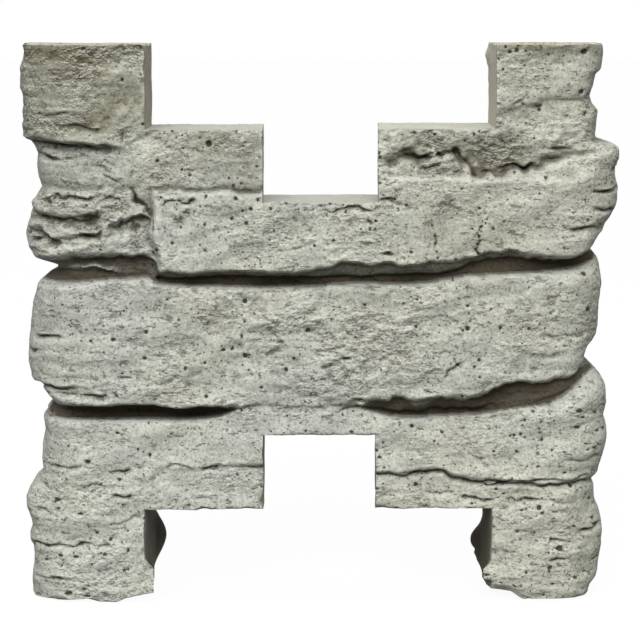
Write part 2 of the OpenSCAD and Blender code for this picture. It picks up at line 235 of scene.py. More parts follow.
CREVICES = [
    # Strata of the left upper stone.
    ([(-182, 282.8), (-175, 281.4), (-169, 281.4), (-166, 284.9), (-160, 283), (-153, 282)], 5.0, 2.0),
    ([(-150, 281.5), (-143.5, 280), (-134.6, 280.7)], 3.0, 1.3),
    ([(-194, 272.5), (-184, 270.2), (-179.4, 269.5), (-166, 268.6), (-156, 268.8),
      (-152, 271)], 9.5, 3.3),
    ([(-147.7, 262.2), (-142.8, 263.3), (-136.6, 264), (-127.7, 265.4), (-117, 267.5)], 7.5, 2.9),
    ([(-193, 259.5), (-188.4, 257), (-180.8, 254.9), (-175, 254.2), (-169, 252.5), (-165.6, 255.6),
      (-159.4, 257.4), (-151, 257.7)], 9.0, 3.4),
    ([(-149, 274.8), (-132.5, 274)], 1.6, 0.9), ([(-165, 262.5), (-158, 263.5), (-151, 263)], 1.8, 1.0),
    ([(-200, 247), (-190, 244.5), (-180, 245.5)], 1.8, 1.1), ([(-140, 255), (-131, 256.5)], 1.4, 0.9),
    # Upright joint between the left and the centre stone.
    ([(-127, 286), (-122, 280), (-117, 274)], 3.0, 4.2),
    ([(-129, 289.7), (-126.3, 279.3), (-120.8, 275), (-116.6, 272)], 4.0, 2.2),
    ([(-116, 273.5), (-115, 267), (-115, 262), (-116, 250)], 2.0, 0.9),
    # Left horn stone, from its ledge up.
    ([(-203, 321), (-190, 321), (-174, 319.5), (-161, 318), (-148, 317.6), (-144, 315.5)], 3.2, 1.5),
    ([(-141, 317), (-138, 322), (-136.6, 327), (-128, 330)], 1.4, 1.0),
    ([(-188, 315), (-181, 311.5), (-174, 310), (-166, 310), (-162, 314)], 3.0, 1.3),
    ([(-155.5, 329.5), (-149.5, 330)], 1.9, 0.9), ([(-143, 329), (-138, 328), (-131, 329)], 1.2, 0.8),
    ([(-129, 331.5), (-122, 335)], 1.6, 0.9), ([(-174, 379.5), (-165, 379.5), (-161, 379)], 1.4, 0.9),
    ([(-182, 373.5), (-170, 375)], 1.5, 1.0), ([(-202, 365), (-192, 367)], 2.2, 1.1),
    ([(-205, 358.5), (-195, 356), (-186, 355.5)], 2.8, 1.4),
    ([(-203, 336), (-194, 333), (-187, 335)], 2.8, 1.3),
    ([(-203, 347), (-196, 345.5), (-190, 346.5)], 1.8, 1.0),
    ([(-179, 343), (-172, 340), (-166, 342)], 1.8, 1.0),
    ([(-182, 332.5), (-170, 329.5), (-160, 331), (-152, 327)], 2.4, 1.2),
    ([(-160, 352), (-150, 353.5)], 1.2, 0.9), ([(-150, 340), (-141, 338)], 1.6, 1.0),
    ([(-170, 364), (-158, 366)], 1.2, 0.9), ([(-146, 360), (-138, 361)], 1.2, 0.8),
    # Recessed band on the left.
    ([(-172, 309), (-155, 304.5), (-140, 299)], 1.6, 1.5),
    ([(-163, 303), (-148, 298), (-132, 293)], 1.6, 1.6),
    ([(-150, 308), (-136, 303), (-126, 298)], 1.1, 1.2),
    ([(-190, 313), (-178, 309), (-166, 308)], 2.0, 1.4),
    ([(-110, 322), (-97, 322), (-90, 322.5)], 1.8, 0.8), ([(-110, 318.5), (-97, 317)], 1.8, 0.8),
    ([(-94, 317.5), (-85, 316), (-78.5, 314), (-72, 315.7)], 1.6, 0.8),
    ([(-124, 290), (-108, 289), (-96, 290.4)], 1.6, 0.8),
    ([(-91, 287), (-79, 287.7), (-73.5, 288)], 2.0, 0.8),
    ([(-73.5, 288), (-66, 288.7), (-47, 287.2)], 1.4, 0.7),
    # Centre stone.
    ([(-111, 277), (-102, 279.6), (-96.6, 279), (-85.6, 280.3)], 3.0, 1.5),
    ([(-108, 273.5), (-100, 272), (-92, 272), (-88, 274)], 2.2, 4.4),
    ([(-111, 284), (-103, 286), (-96, 285.5)], 1.6, 1.0),
    ([(-90, 251.4), (-84, 252.8)], 1.4, 0.7), ([(-11.7, 274.8), (-3.9, 276.2)], 2.6, 0.9),
    ([(-0.4, 275.8), (9.5, 273.7), (15, 276.5), (25, 276.9), (35, 275.1), (41, 276.5)], 3.4, 1.1),
    ([(-20, 250), (-9, 251), (1, 254)], 1.2, 0.9), ([(41.8, 245.5), (46, 245), (50.3, 243.5)], 3.4, 1.4),
    # Right upper stone and the crevice over it.
    ([(57, 310), (61, 311), (74, 310.7), (80, 313), (89, 313.5)], 4.6, 1.5),
    ([(93, 315), (97, 309), (100, 306)], 3.0, 1.6), ([(104, 302), (109, 298.6), (115, 300.4)], 3.0, 1.2),
    ([(121, 300), (128, 304.4), (134.5, 305.8), (140, 300.8), (145, 301.5)], 3.2, 1.2),
    ([(129, 304), (137, 306)], 2.0, 1.0),
    ([(137, 301), (143, 301.6), (147, 305.8), (151, 308), (158, 309), (163, 309)], 2.6, 1.1),
    ([(139, 315), (150, 315), (159, 316), (170, 315), (173, 317.6), (177, 316)], 2.2, 1.1),
    ([(66, 306.5), (70, 304.4), (77, 304.4), (82, 307)], 2.4, 1.1),
    ([(51, 308.6), (55.6, 305.8)], 1.6, 0.8),
    ([(43, 283), (56, 278.7), (61, 275)], 2.0, 1.0),
    ([(66, 280), (74, 277), (80, 276.6), (85, 278)], 1.6, 1.0),
    ([(71, 278), (75, 270), (78, 262), (79, 250), (80.4, 240)], 1.6, 0.9),
    ([(112, 268), (109.5, 262), (109, 256), (107, 250), (107.5, 243)], 1.9, 1.0),
    ([(42, 281), (50, 284), (56, 288.5)], 2.6, 1.5), ([(50, 281), (60, 277.5), (66, 276)], 2.2, 1.3),
    ([(44, 292), (52, 294.5)], 2.0, 1.2), ([(42, 300), (49, 302)], 1.6, 1.0),
    ([(101, 274), (108.5, 271), (115, 274)], 1.4, 0.9), ([(89, 296), (96.5, 301.5)], 1.4, 0.7),
    # Strata at the end of the right upper stone.
    ([(176, 302), (182, 301.3), (190, 302)], 3.0, 1.2),
    ([(173, 289), (180, 288), (190, 288.5)], 3.8, 1.3),
    ([(173, 274), (180, 273), (189, 273.5)], 3.8, 1.3), ([(165, 262), (172, 261), (180, 262)], 3.6, 1.3),
    # Right horn stone.
    ([(149, 386), (153, 381)], 2.0, 0.9), ([(131.5, 344.5), (137, 349), (143, 353.5)], 1.6, 0.9),
    ([(146, 346), (151, 344)], 2.2, 1.0), ([(124, 321.5), (129, 318)], 3.0, 1.3),
    ([(168.5, 372), (175, 374)], 1.4, 0.9), ([(133, 385), (139, 387)], 1.4, 0.9),
    # Long middle stone, left half.
    ([(-182.5, 186.5), (-175.6, 187.4), (-172, 188.8), (-167, 186.5)], 2.8, 1.1),
    ([(-192, 175.7), (-186, 175), (-182, 176), (-178, 178)], 2.2, 1.0),
    ([(-150, 175), (-142, 175.7), (-132, 173), (-124, 177)], 1.0, 0.8),
    ([(-133, 212.6), (-126, 211), (-118, 210), (-115, 211)], 1.0, 0.8),
    ([(-178, 203), (-175, 205), (-172, 203)], 1.3, 0.7),
    ([(-174, 200), (-171, 202), (-168, 200)], 1.3, 0.7),
    ([(-143, 157.5), (-139, 159.8), (-128.5, 159.8)], 2.2, 1.0),
    ([(-148, 153), (-142, 148), (-133, 142.6)], 1.6, 1.6),
    ([(-194, 150.5), (-188.5, 151.5), (-179, 152), (-165, 151.5)], 6.0, 1.8),
    ([(-187, 146), (-179, 146), (-170, 148), (-164.5, 148.6)], 2.8, 1.2),
    ([(-164.5, 148), (-161, 146.8), (-150.6, 146.3), (-147, 147.7)], 4.8, 1.6),
    # Long middle stone, centre.
    ([(-30.6, 199.5), (-24.6, 198.6)], 1.4, 0.8), ([(15, 207), (20, 205.5), (24, 209)], 1.4, 0.8),
    ([(19, 197.7), (22.5, 196), (30, 196)], 1.4, 0.8), ([(45.6, 197.7), (52, 194.4)], 1.6, 0.8),
    ([(40, 187.4), (49, 185.5)], 1.4, 0.8), ([(11.4, 173), (17, 174.3), (23.4, 173.8)], 2.8, 0.9),
    ([(4, 167), (10.5, 170.6)], 1.4, 0.9), ([(-13.5, 157.5), (-5, 161)], 2.8, 0.9),
    ([(3, 155.7), (10.5, 156.6)], 1.4, 0.8), ([(-27, 152.4), (-21, 151)], 1.4, 0.8),
    ([(-16, 145.4), (-9, 146.8), (-5, 148.6), (-0.6, 151)], 1.8, 0.9),
    ([(-12.6, 138), (-2.5, 138), (7.7, 138.4)], 1.4, 0.8),
    ([(11.4, 135.6), (18, 137), (29, 137), (36.4, 136)], 2.6, 1.0),
    ([(21.5, 144.5), (30.8, 142.6)], 3.0, 1.1),
    # Long middle stone, right half.
    ([(156, 216), (162, 215), (166, 218.6), (172, 215)], 3.0, 1.1),
    ([(104, 204), (110, 204.5), (115, 206), (125, 208)], 1.3, 0.8),
    ([(83, 206), (88, 202), (96, 196)], 1.3, 0.9),
    ([(133, 202), (137, 201)], 2.6, 0.9), ([(149, 201), (152, 200)], 1.6, 0.9),
    ([(146, 194), (158, 192.4), (166, 194.3), (180, 193.8), (190, 194.7)], 1.7, 0.8),
    ([(152, 187.4), (161, 186.4), (172.5, 187), (175, 187.8)], 1.7, 0.8),
    ([(144, 172), (150, 174)], 1.5, 0.9),
    ([(157, 173), (166, 175)], 1.5, 0.9), ([(71, 148), (80, 149.5)], 2.6, 1.0),
    ([(81, 159), (88, 163.5), (95, 167.7), (103, 173)], 1.7, 1.1),
    # Lower stone.
    ([(55, 110), (71, 107.5), (78.5, 106)], 1.3, 0.8), ([(95, 104), (117, 103)], 1.3, 0.8),
    ([(165.5, 100), (173, 100), (180, 103), (183, 102)], 1.9, 0.9),
    ([(-189, 112), (-183, 109), (-184, 101)], 1.6, 1.0),
    ([(-184, 94), (-175, 96), (-168, 93.5), (-162, 96.5)], 1.8, 0.9),
    ([(-152, 91), (-145, 92), (-137, 92.6), (-131.5, 93)], 2.8, 1.0),
    ([(-131.5, 95), (-123, 96)], 1.6, 0.8),
    ([(-107, 96), (-100, 97.4), (-91, 95.5), (-83, 95), (-72, 97.4), (-62, 98)], 2.8, 0.9),
    ([(-108, 122.8), (-101, 122.8)], 1.8, 0.7),
    # Bed of the right foot course, and the strata under it.
    ([(40, 92), (51, 91.4), (62, 91.4), (73, 92.5), (82, 92), (87, 89.7), (94, 86.4), (106, 85.3),
      (122.5, 84.7), (145, 85.3), (187.5, 86.4)], 2.6, 1.0),
    ([(40, 75), (50.5, 78.5), (62, 78.5), (70, 77.3), (82.5, 76.8), (92, 77.3), (101, 74),
      (114.5, 71.5), (131, 71.5), (149, 72), (174, 69)], 2.4, 0.9),
    # Left foot course and foot.
    ([(-169, 80), (-164, 82), (-153, 82), (-137, 83)], 1.8, 0.9),
    ([(-145, 77), (-137, 76.4), (-131.5, 76), (-122, 76.4)], 2.8, 1.0),
    ([(-100.5, 79), (-91, 81)], 1.6, 0.8),
    ([(-88, 74), (-67.6, 74.5)], 1.6, 0.8), ([(-185, 63), (-178, 62), (-171, 61)], 1.8, 1.0),
    ([(-166, 56), (-162.5, 55.4), (-157, 52), (-150, 50)], 3.0, 1.1),
    ([(-150, 54.5), (-141, 56.4), (-131.5, 60), (-122, 63)], 1.6, 0.9),
    ([(-198, 34), (-188, 37), (-178, 40.7), (-170, 41), (-163.5, 42.7), (-155, 41),
      (-143, 40)], 3.0, 0.9),
    ([(-185, 16.4), (-177, 16.8), (-167, 17.3)], 1.8, 0.9),
    # Right foot.
    ([(172, 48), (181, 48.5), (191, 51)], 2.8, 1.0), ([(127, 51), (155, 48)], 1.0, 0.8),
    ([(148, 38), (155, 41), (163, 43), (171, 41.5)], 1.8, 1.0),
    ([(159, 29.4), (165, 31), (169.5, 30.6)], 2.8, 1.0),
    ([(152, 14), (158, 12)], 1.8, 0.9), ([(127, 35.7), (136, 34.6)], 1.6, 1.0),
]

# Thin slivers of stone that stand out of a joint: (points along it, height, half width).
SLIVERS = [
    ([(-170, 234.5), (-160, 233.5), (-148, 231.8), (-138, 230.8)], 6.5, 1.9),
    ([(-118, 224.5), (-112, 223.5)], 9.0, 1.6),
]

# Larger air holes.
AIR_HOLES = [
    (-76.7, 319.6, 2.3), (-90, 298, 1.3), (-112, 308, 1.4), (-54.5, 292.6, 1.3), (-60, 291, 1.3),
    (-48, 275.5, 1.6), (-43, 281.6, 1.5), (-58, 282.6, 1.3), (-61, 269, 1.3), (-51, 266, 1.5),
    (-102, 252, 1.4), (-113, 247, 1.4), (-79.5, 265, 1.3), (173.5, 382.5, 2.1), (173, 355, 1.8),
    (-143, 185.4, 1.5), (-120, 191, 1.6), (-121, 172.5, 1.4), (-97.5, 199.5, 1.1), (-79, 146, 1.4),
    (-67, 178.5, 1.4), (-52, 212, 1.8), (-9, 192, 1.7), (-54.5, 188, 1.4), (-61, 179, 1.3),
    (-52, 174.5, 2.0), (-18.6, 172.4, 1.4), (-24, 164.7, 1.7), (7, 200, 1.3), (30, 209.6, 1.4),
    (65.5, 194, 1.4), (101, 193, 1.7), (109, 171, 1.4), (94, 168, 1.4), (101, 208.5, 1.3),
    (174, 229, 1.5), (177, 204, 2.0), (-161, 99.4, 1.7), (-141, 119.6, 1.4), (-126.5, 108, 1.3),
    (-118.5, 104, 1.4), (-174, 71.5, 1.4), (-164, 63, 1.3), (-169, 5.3, 1.7), (-150, 34.6, 1.5),
    (-166, 32.5, 1.3), (-146, 45, 1.4), (-119, 126.5, 1.0), (63, 124.5, 1.6), (84, 120, 1.3),
    (120, 106.6, 1.3), (170.6, 134, 1.5), (170.4, 122.7, 1.5), (164, 37.5, 1.8), (160, 24, 1.5),
    (152, 66.4, 2.0), (66, 82.5, 1.6), (122, 79.4, 1.4), (93, 314.5, 2.8), (62, 246, 1.4),
    (111, 267, 0.9), (109.8, 263, 1.2), (110.4, 259.5, 0.8), (108.6, 256.5, 1.4), (109.6, 253.5, 0.9),
    (107.6, 251, 1.3), (106.4, 247.5, 1.1), (108, 245, 1.2), (76.6, 264, 0.8), (78.6, 257, 1.0),
    (78, 251.5, 0.8), (79.8, 246, 1.0), (80.4, 241.5, 1.1), (37.5, 262, 1.2), (9, 254, 1.2),
    (137, 49.6, 1.2),
]

# Broad lumps of the stones: (degrees for each mm along, degrees for each mm up, first angle,
# height).
LUMPS = [
    (10.3, 3.1, 40, 0.9), (-4.6, 9.7, 200, 0.9), (6.9, -11.3, 110, 0.7), (2.3, 15.1, 300, 0.6),
    (-3.1, 2.2, 20, 1.0),
]

# Where the split stone shows its layers: (from, to, bottom, top, depth, spacing of the layers).
STRATA = [
    (-215, -121, 240, 290, 1.5, 8.0), (-215, -125, 320, 388, 0.8, 9.0),
    (-215, -130, 140, 222, 0.6, 10.0), (-215, -120, 290, 320, 0.8, 7.0),
    (130, 215, 150, 232, 0.6, 9.0), (-215, -120, 0, 80, 0.6, 9.0), (130, 215, 0, 130, 0.5, 9.0),
    (120, 215, 300, 388, 0.5, 9.0),
]

# Rougher and smoother parts of the face: (from, to, bottom, top, how much is added).
ROUGHER = [
    (-40, 60, 150, 205, 0.7), (60, 195, 240, 300, -0.35), (30, 180, 300, 345, 0.5),
    (-110, 100, 150, 215, 0.2), (120, 200, 0, 75, -0.25), (48, 135, 302, 330, 0.8),
    (-200, -120, 240, 285, 0.9), (-110, 50, 228, 280, -0.05), (-110, -45, 285, 328, -0.1),
    (-180, -60, 165, 220, -0.25), (-200, -120, 325, 388, -0.2), (110, 132, 186, 208, -0.6),
    (120, 195, 335, 388, -0.3), (-120, -40, 70, 125, -0.2), (-205, 205, 95, 130, -0.35),
    (-45, 50, 118, 138, -0.4), (-205, -125, 315, 352, 0.7), (-205, -120, 352, 388, 0.5),
]

# Where the edges of the stones are more ragged or straighter, where their wandering is calm too,
# and where the crevices wriggle more: (from, to, bottom, top, how much is added).
RAGGED = [(-170, -62, 128, 150, -0.7), (50, 178, 294, 324, 1.6)]
CALM = [(-108, 72, 222, 246, -0.6)]
WRIGGLING = [(-205, -85, 236, 292, 0.9)]

# Grain of the split stone, as waves: (seed, wide, tall, height), and as flats: (seed, wide, tall,
# tilt). The flats and the broad lumps count with a share of their height.
GRIT = [(22, 24, 11, 0.28), (23, 10, 4.6, 0.16), (24, 5.2, 2.9, 0.17), (25, 2.6, 2.0, 0.16)]
FACETS = [(31, 24, 11, 0.07), (41, 9, 4.5, 0.12)]
FACET_SHARE = 0.5
LUMP_SHARE = 0.8

# Crevices deeper than this run on unbroken, and those with a greater half width are painted paler.
STEADY_DEPTH = 4
WIDE_CREVICE = 2.8
WIDE_SHADE = 0.6

# Ripples that bend the crevices across and up, and break their depth: (seed, wide, tall, height).
BENT_ACROSS = [(81, 5, 4, 0.9)]
BENT_UP = [(82, 6, 5, 0.7), (83, 2.5, 2.5, 0.6)]
BROKEN = [(84, 6, 5, 0.4), (85, 3, 3, 0.25)]

# Ripples that make the edges of the stones wander across and up, and fray them.
WANDER_ACROSS = [(11, 12, 9, 1.2)]
WANDER_UP = [(12, 13, 8, 0.7)]
FRAYED = [(13, 4.5, 3.5, 0.45), (14, 2.4, 2.4, 0.3)]

# Ripples of the cast faces: of their walls, and of the drags and the grain of the back.
WALL_WAVES = [(101, 16, 12, 0.22)]
WALL_GRAIN = [(102, 3.5, 3, 0.12)]
BACK_DRAGS = [(104, 40, 5, 0.2)]
BACK_GRAIN = [(105, 4, 3, 0.12)]

# Surfaces that lean in towards their foot: (from, to, bottom, top, how far in at the bottom).
LEANS = [(46, 168, 297, 330, 6.0), (-32, 34, 118, 137, -2.5), (122, 172, 4, 62, -2.0)]
LEAN_FADE = 6.0

# Where the face is painted darker, with weathering stains and with painted shade over recesses,
# lit shoulders and the horns' tops: (from, to, bottom, top, how much).
STAIN_AND_SHADE_PATCHES = [
    (-215, -120, 322, 388, 0.75), (-215, -120, 372, 400, 0.9), (110, 215, 376, 400, 0.6),
    (-215, -120, 236, 318, 0.34), (-120, -40, 280, 330, 0.5), (-120, 60, 226, 284, 0.12),
    (60, 215, 236, 300, 0.2), (120, 215, 335, 388, 0.3), (-215, 215, 140, 232, 0.14),
    (-215, 215, 240, 400, 0.06), (50, 140, 300, 328, 0.75), (40, 64, 274, 296, 0.35),
]
DARKENING_FADE = 22.0

# Where fine air holes crowd: (from, to, bottom, top, how many).
HOLED = [
    (-200, 200, 0, 388, 420), (90, 190, 236, 300, 25), (120, 190, 0, 75, 60), (-112, 60, 250, 290, 60),
    (40, 130, 170, 225, 40), (-200, -120, 0, 60, 50), (130, 185, 85, 135, 60), (60, 185, 320, 345, 40),
]

# Small nicks along the front arrises of the notches: how many to each millimetre of arris, and how
# far from it they reach.
EDGE_NICKS = 0.28
NICKED_BAND = 5.5

# A push at an arris of a notch dies out over this distance. The arrises are worn this far at the
# back, and painted pale this far in front, as wear with a painted highlight.
ARRIS_REACH = 5.0
BACK_WEAR = 1.6
RIM_WIDTH = 3

# How the cast walls stand out of square: (wall, side, how far into the concrete at the front, how
# much further in by the end of the lean, depth of the lean).
WALL_LEANS = [
    ("crown slot wall", -1, -0.8, 0.0, 70), ("crown slot wall", 1, -1.0, 2.6, 70),
    ("foot slot wall", -1, -0.8, 0.0, 70), ("foot slot wall", 1, -2.5, 2.6, 70),
    ("horn wall", -1, 0.0, -1.4, 60),
    ("foot wall", -1, 1.8, -2.5, 60), ("foot wall", 1, -1.4, -1.2, 60),
]

# Fall of the horns' tops and of the left shelf to the back, for each millimetre of depth.
TOP_FALL = 0.031
SHELF_FALL = 0.012

# Crumbs along the front of the crown slot's floor reach this deep, and the chips of the feet this
# high. A knock pushes this share as far along a face as into it.
CRUMB_DEPTH = 7
CHIP_HEIGHT = 25
KNOCK_LEAN = 0.6

# How rugged the cast faces are, where split stone is 1, and the angle at which an edge is sharp.
CAST_RUGGED = 0.25
SHARP_ANGLE = math.radians(50)

# Painted shade with dirt, and painted shade with stain, on the walls between the feet: (at the left,
# more at the right, how deep behind the face it starts, over what depth it is full). The walls of the
# left horn are painted a little darker.
FOOT_WALL_SHADE_AND_DIRT = (0.75, 0.25, 2, 14)
FOOT_WALL_SHADE_AND_STAIN = (0.5, 0.5, 15, 25)
LEFT_HORN_WALL_DARKENING = 0.2

# Beads of cement squeezed out at the back arris of a notch's side: (side, middle height, half
# height, how far it stands into the notch, how ragged it is).
BURRS = [(-1, 32, 25, 9.2, 0.0), (1, 25, 23, 7.8, 0.13), (1, 377, 9, 2.6, 0.13)]

# Share of the depth behind which a bead starts to swell, and over which it is full.
BEAD_START = 0.5
BEAD_RUN = 0.45

# Where the stone of a foot laps over the notch's side in front: (side, bottom, top, how far).
LAPS = [(-1, -6, 32, 6.2), (1, 6, 29, 5.6)]
LAP_DEPTH = 16

# Knocks on the front arrises: (across, height, radius).
KNOCKS = [
    (-120, 386, 4), (-178, 388, 6), (121, 387, 3), (-41, 327, 3), (-40, 300, 2.5), (40, 296, 3),
    (-28, 278, 2.4), (-8, 278, 2), (24, 278, 2.4), (36, 279, 2), (-96, 328, 2.5), (-70, 328, 2),
    (66, 328, 3), (100, 328, 2.5), (-40, 88, 2), (40, 76, 2.5), (-64, 65, 3), (-104, 65, 2),
    (72, 65, 2.5), (104, 65, 3), (-120, 22, 4), (-120, 48, 3), (120, 34, 4), (120, 52, 3),
    (-16, 118, 2), (22, 118, 2.5),
]

# ---------------------------------------------------------------------------------------------
# Map of the stone face: how far the surface stands out of the slab at each position and height.
# ---------------------------------------------------------------------------------------------

MAP_S = np.arange(-REACH, REACH + MAP_STEP, MAP_STEP)
MAP_Z = np.arange(0, BLOCK_H + MAP_STEP, MAP_STEP)
S, Z = np.meshgrid(MAP_S, MAP_Z, indexing="ij")


def spline_weights(places, cell):
    """Cubic weights that spread random values, one to a cell, smoothly over the places."""
    along = (places - places[0]) / cell
    first = along.astype(int)
    f = along - first
    rows = np.arange(len(places))
    weights = np.zeros((len(places), first[-1] + 4))
    weights[rows, first] = (1 - f) ** 3 / 6
    weights[rows, first + 1] = (3 * f**3 - 6 * f**2 + 4) / 6
    weights[rows, first + 2] = (1 + 3 * f + 3 * f**2 - 3 * f**3) / 6
    weights[rows, first + 3] = f**3 / 6
    return weights


def ripple(seed, wide, tall):
    """Smooth random relief with waves of a width and height in mm, of unit spread."""
    across, up = spline_weights(MAP_S, wide), spline_weights(MAP_Z, tall)
    values = np.random.default_rng(seed).standard_normal((across.shape[1], up.shape[1]))
    relief = across @ values @ up.T
    return relief / relief.std()


def ripples(table):
    """Sum of the ripples of a table, each with its own height."""
    return sum(height * ripple(seed, wide, tall) for seed, wide, tall, height in table)


def sample(relief, s, z):
    """Value of a map at positions and heights, mirrored past its top."""
    z = np.where(z > BLOCK_H, 2 * BLOCK_H - z, z)
    column = np.clip((s + REACH) / MAP_STEP, 0, len(MAP_S) - 1.001)
    row = np.clip(z / MAP_STEP, 0, len(MAP_Z) - 1.001)
    i, j = column.astype(int), row.astype(int)
    f, g = column - i, row - j
    low = relief[i, j] * (1 - f) + relief[i + 1, j] * f
    high = relief[i, j + 1] * (1 - f) + relief[i + 1, j + 1] * f
    return low * (1 - g) + high * g


def blur(relief, radius):
    """The map with everything smaller than a radius in mm smoothed away."""
    margin = int(3 * radius / MAP_STEP)
    padded = np.pad(relief, margin, mode="reflect")
    waves_s = np.fft.fftfreq(padded.shape[0])[:, None]
    waves_z = np.fft.rfftfreq(padded.shape[1])[None, :]
    fade = np.exp(-2 * (math.pi * radius / MAP_STEP) ** 2 * (waves_s**2 + waves_z**2))
    smooth = np.fft.irfft2(np.fft.rfft2(padded) * fade, s=padded.shape)
    return smooth[margin:-margin, margin:-margin]


def ease(share):
    """Smooth step from 0 to 1."""
    share = np.clip(share, 0, 1)
    return share * share * (3 - 2 * share)


def patch(low_s, high_s, low_z, high_z, soft=10.0):
    """Mask that is 1 inside a patch of the map and fades out round it."""
    across = ease((S - low_s) / soft + 0.5) * ease((high_s - S) / soft + 0.5)
    return across * ease((Z - low_z) / soft + 0.5) * ease((high_z - Z) / soft + 0.5)


def quarter_round(rise):
    """Share of a stone's stand at a share of the height of its rounding."""
    return np.sqrt(1 - (1 - np.clip(rise, 0, 1)) ** 2)


def stone_courses(s, z, calm_z):
    """Six courses of stones with ragged lips, and how deep in a joint each place lies."""
    courses = [
        ("foot", None, None, FOOT_SHOULDER, FOOT_JOINT, None, FOOT_STAND),
        ("lower", FOOT_LIP, FOOT_JOINT, MIDDLE_SHOULDER, MIDDLE_JOINT, MIDDLE_DEEP, LOWER_STAND),
        ("middle", MIDDLE_LIP, MIDDLE_JOINT, UPPER_SHOULDER, UPPER_JOINT, UPPER_DEEP, MIDDLE_STAND),
        ("upper", UPPER_LIP, UPPER_JOINT, BAND_SHOULDER, BAND_JOINT, None, UPPER_STAND),
        ("band", BAND_LIP, BAND_JOINT, CROWN_SHOULDER, CROWN_JOINT, None, BAND_STAND),
        ("crown", CROWN_LIP, CROWN_JOINT, None, None, None, CROWN_STAND),
    ]
    relief = np.zeros_like(s)
    joints = np.ones_like(s)
    deep = None
    for name, lip, joint_below, shoulder, joint_above, next_deep, stone in courses:
        stand = line(stone, s)
        course = stand.copy()
        inside = np.ones(s.shape, bool)
        if lip:
            low = line(lip, s)
            inside &= z > low
            start = line(OVERHANG[name], s) if deep else 0.0
            if deep:
                depth = line(deep, s)
                rise = np.clip((z - depth) / np.maximum(low - depth, 1.0), 0, 1)
                hang = start * (OVERHANG_IN + (1 - OVERHANG_IN) * rise)
                under = ease((z - depth) / UNDER_FADE + 0.3)
                gap = joints > 0
                relief += gap * under * hang * np.maximum(stand - relief, 0)
                joints = np.where(gap, 1 - under * (UNDER_LIT + HANG_LIT * start), 0.0)
            sunk = 1 - quarter_round((z - low) / line(LIP_R[name], s))
            course -= sunk * (1 - start) * (stand - line(joint_below, s))
        if shoulder:
            top = line(shoulder, s)
            level = calm_z if next_deep else z
            inside &= level < top
            sunk = 1 - quarter_round((top - level) / line(SHOULDER_R[name], s))
            course -= sunk * (stand - line(joint_above, s))
        relief = np.where(inside, course, relief)
        joints = np.where(inside, 0.0, joints)
        if shoulder:
            relief = np.where(level >= top, line(joint_above, s), relief)
            joints = np.where(level >= top, 1.0 if next_deep else SHALLOW_JOINT, joints)
        deep = next_deep
    return relief, joints


def split_facets(seed, wide, tall, tilt):
    """Flats of split stone: each place lies on the tilted plane of the seed that is nearest."""
    random = np.random.default_rng(seed)
    columns, rows = int(2 * REACH / wide) + 4, int(BLOCK_H / tall) + 4
    seed_s = (np.arange(columns)[:, None] - 1 + random.random((columns, rows))) * wide - REACH
    seed_z = (np.arange(rows)[None, :] - 1 + random.random((columns, rows))) * tall
    slope_s, slope_z = random.standard_normal((2, columns, rows)) * tilt
    offset = random.standard_normal((columns, rows)) * tilt * tall / 4
    place_s, place_z = S + 2.0 * ripple(seed + 1, 9, 6), Z + 1.5 * ripple(seed + 2, 9, 6)
    i = np.clip(((place_s + REACH) / wide).astype(int) + 1, 1, columns - 2)
    j = np.clip((place_z / tall).astype(int) + 1, 1, rows - 2)
    nearest = np.full(S.shape, np.inf)
    relief = np.zeros(S.shape)
    for di in (-1, 0, 1):
        for dj in (-1, 0, 1):
            ds = place_s - seed_s[i + di, j + dj]
            dz = place_z - seed_z[i + di, j + dj]
            gap = (ds / wide) ** 2 + (dz / tall) ** 2
            plane = offset[i + di, j + dj] + slope_s[i + di, j + dj] * ds + slope_z[i + di, j + dj] * dz
            relief = np.where(gap < nearest, plane, relief)
            nearest = np.minimum(gap, nearest)
    return relief


def spread(table):
    """One over the whole map, with what each row of a table adds inside its patch."""
    total = np.ones(S.shape)
    for low_s, high_s, low_z, high_z, more in table:
        total += more * patch(low_s, high_s, low_z, high_z)
    return total


def rock_roughness():
    """Broad lumps, and the finer split facets, layers and grit of the stone, in mm."""
    lumps = np.zeros(S.shape)
    for along, up, first, height in LUMPS:
        lumps += height * np.sin(np.radians(S * along + Z * up + first))
    fine = ripples(GRIT)
    for seed, wide, tall, tilt in FACETS:
        fine += FACET_SHARE * split_facets(seed, wide, tall, tilt)
    relief = LUMP_SHARE * lumps + spread(ROUGHER) * fine
    for number, (low_s, high_s, low_z, high_z, depth, spacing) in enumerate(STRATA):
        layer = (Z + 2.6 * ripple(51 + number, 46, 14) + 0.7 * ripple(61 + number, 9, 6)) / spacing
        bulge = 1 - np.abs(2 * (layer % 1) - 1) ** 3
        fade = ease(0.6 + 0.5 * ripple(71 + number, 26, 12))
        relief += depth * fade * (bulge - 0.75) * patch(low_s, high_s, low_z, high_z)
    return relief


def near(path, reach):
    """The part of the map within reach of a path, as two slices."""
    s, z = zip(*path)
    low_s = max(int((min(s) - reach + REACH) / MAP_STEP), 0)
    high_s = int((max(s) + reach + REACH) / MAP_STEP) + 2
    low_z = max(int((min(z) - reach) / MAP_STEP), 0)
    high_z = int((max(z) + reach) / MAP_STEP) + 2
    return slice(low_s, high_s), slice(low_z, high_z)


def distance_to_path(s, z, path):
    """How far each place is from a path, how much of that is upwards, and how far along it is."""
    legs = list(zip(path, path[1:]))
    total = sum(math.dist(a, b) for a, b in legs)
    gap = np.full(s.shape, np.inf)
    rise = np.zeros(s.shape)
    along = np.zeros(s.shape)
    done = 0.0
    for a, b in legs:
        leg = math.dist(a, b)
        share = ((s - a[0]) * (b[0] - a[0]) + (z - a[1]) * (b[1] - a[1])) / leg**2
        share = np.clip(share, 0, 1)
        off_z = z - a[1] - share * (b[1] - a[1])
        off = np.hypot(s - a[0] - share * (b[0] - a[0]), off_z)
        along = np.where(off < gap, (done + share * leg) / total, along)
        rise = np.where(off < gap, off_z, rise)
        gap = np.minimum(off, gap)
        done += leg
    return gap, rise, along


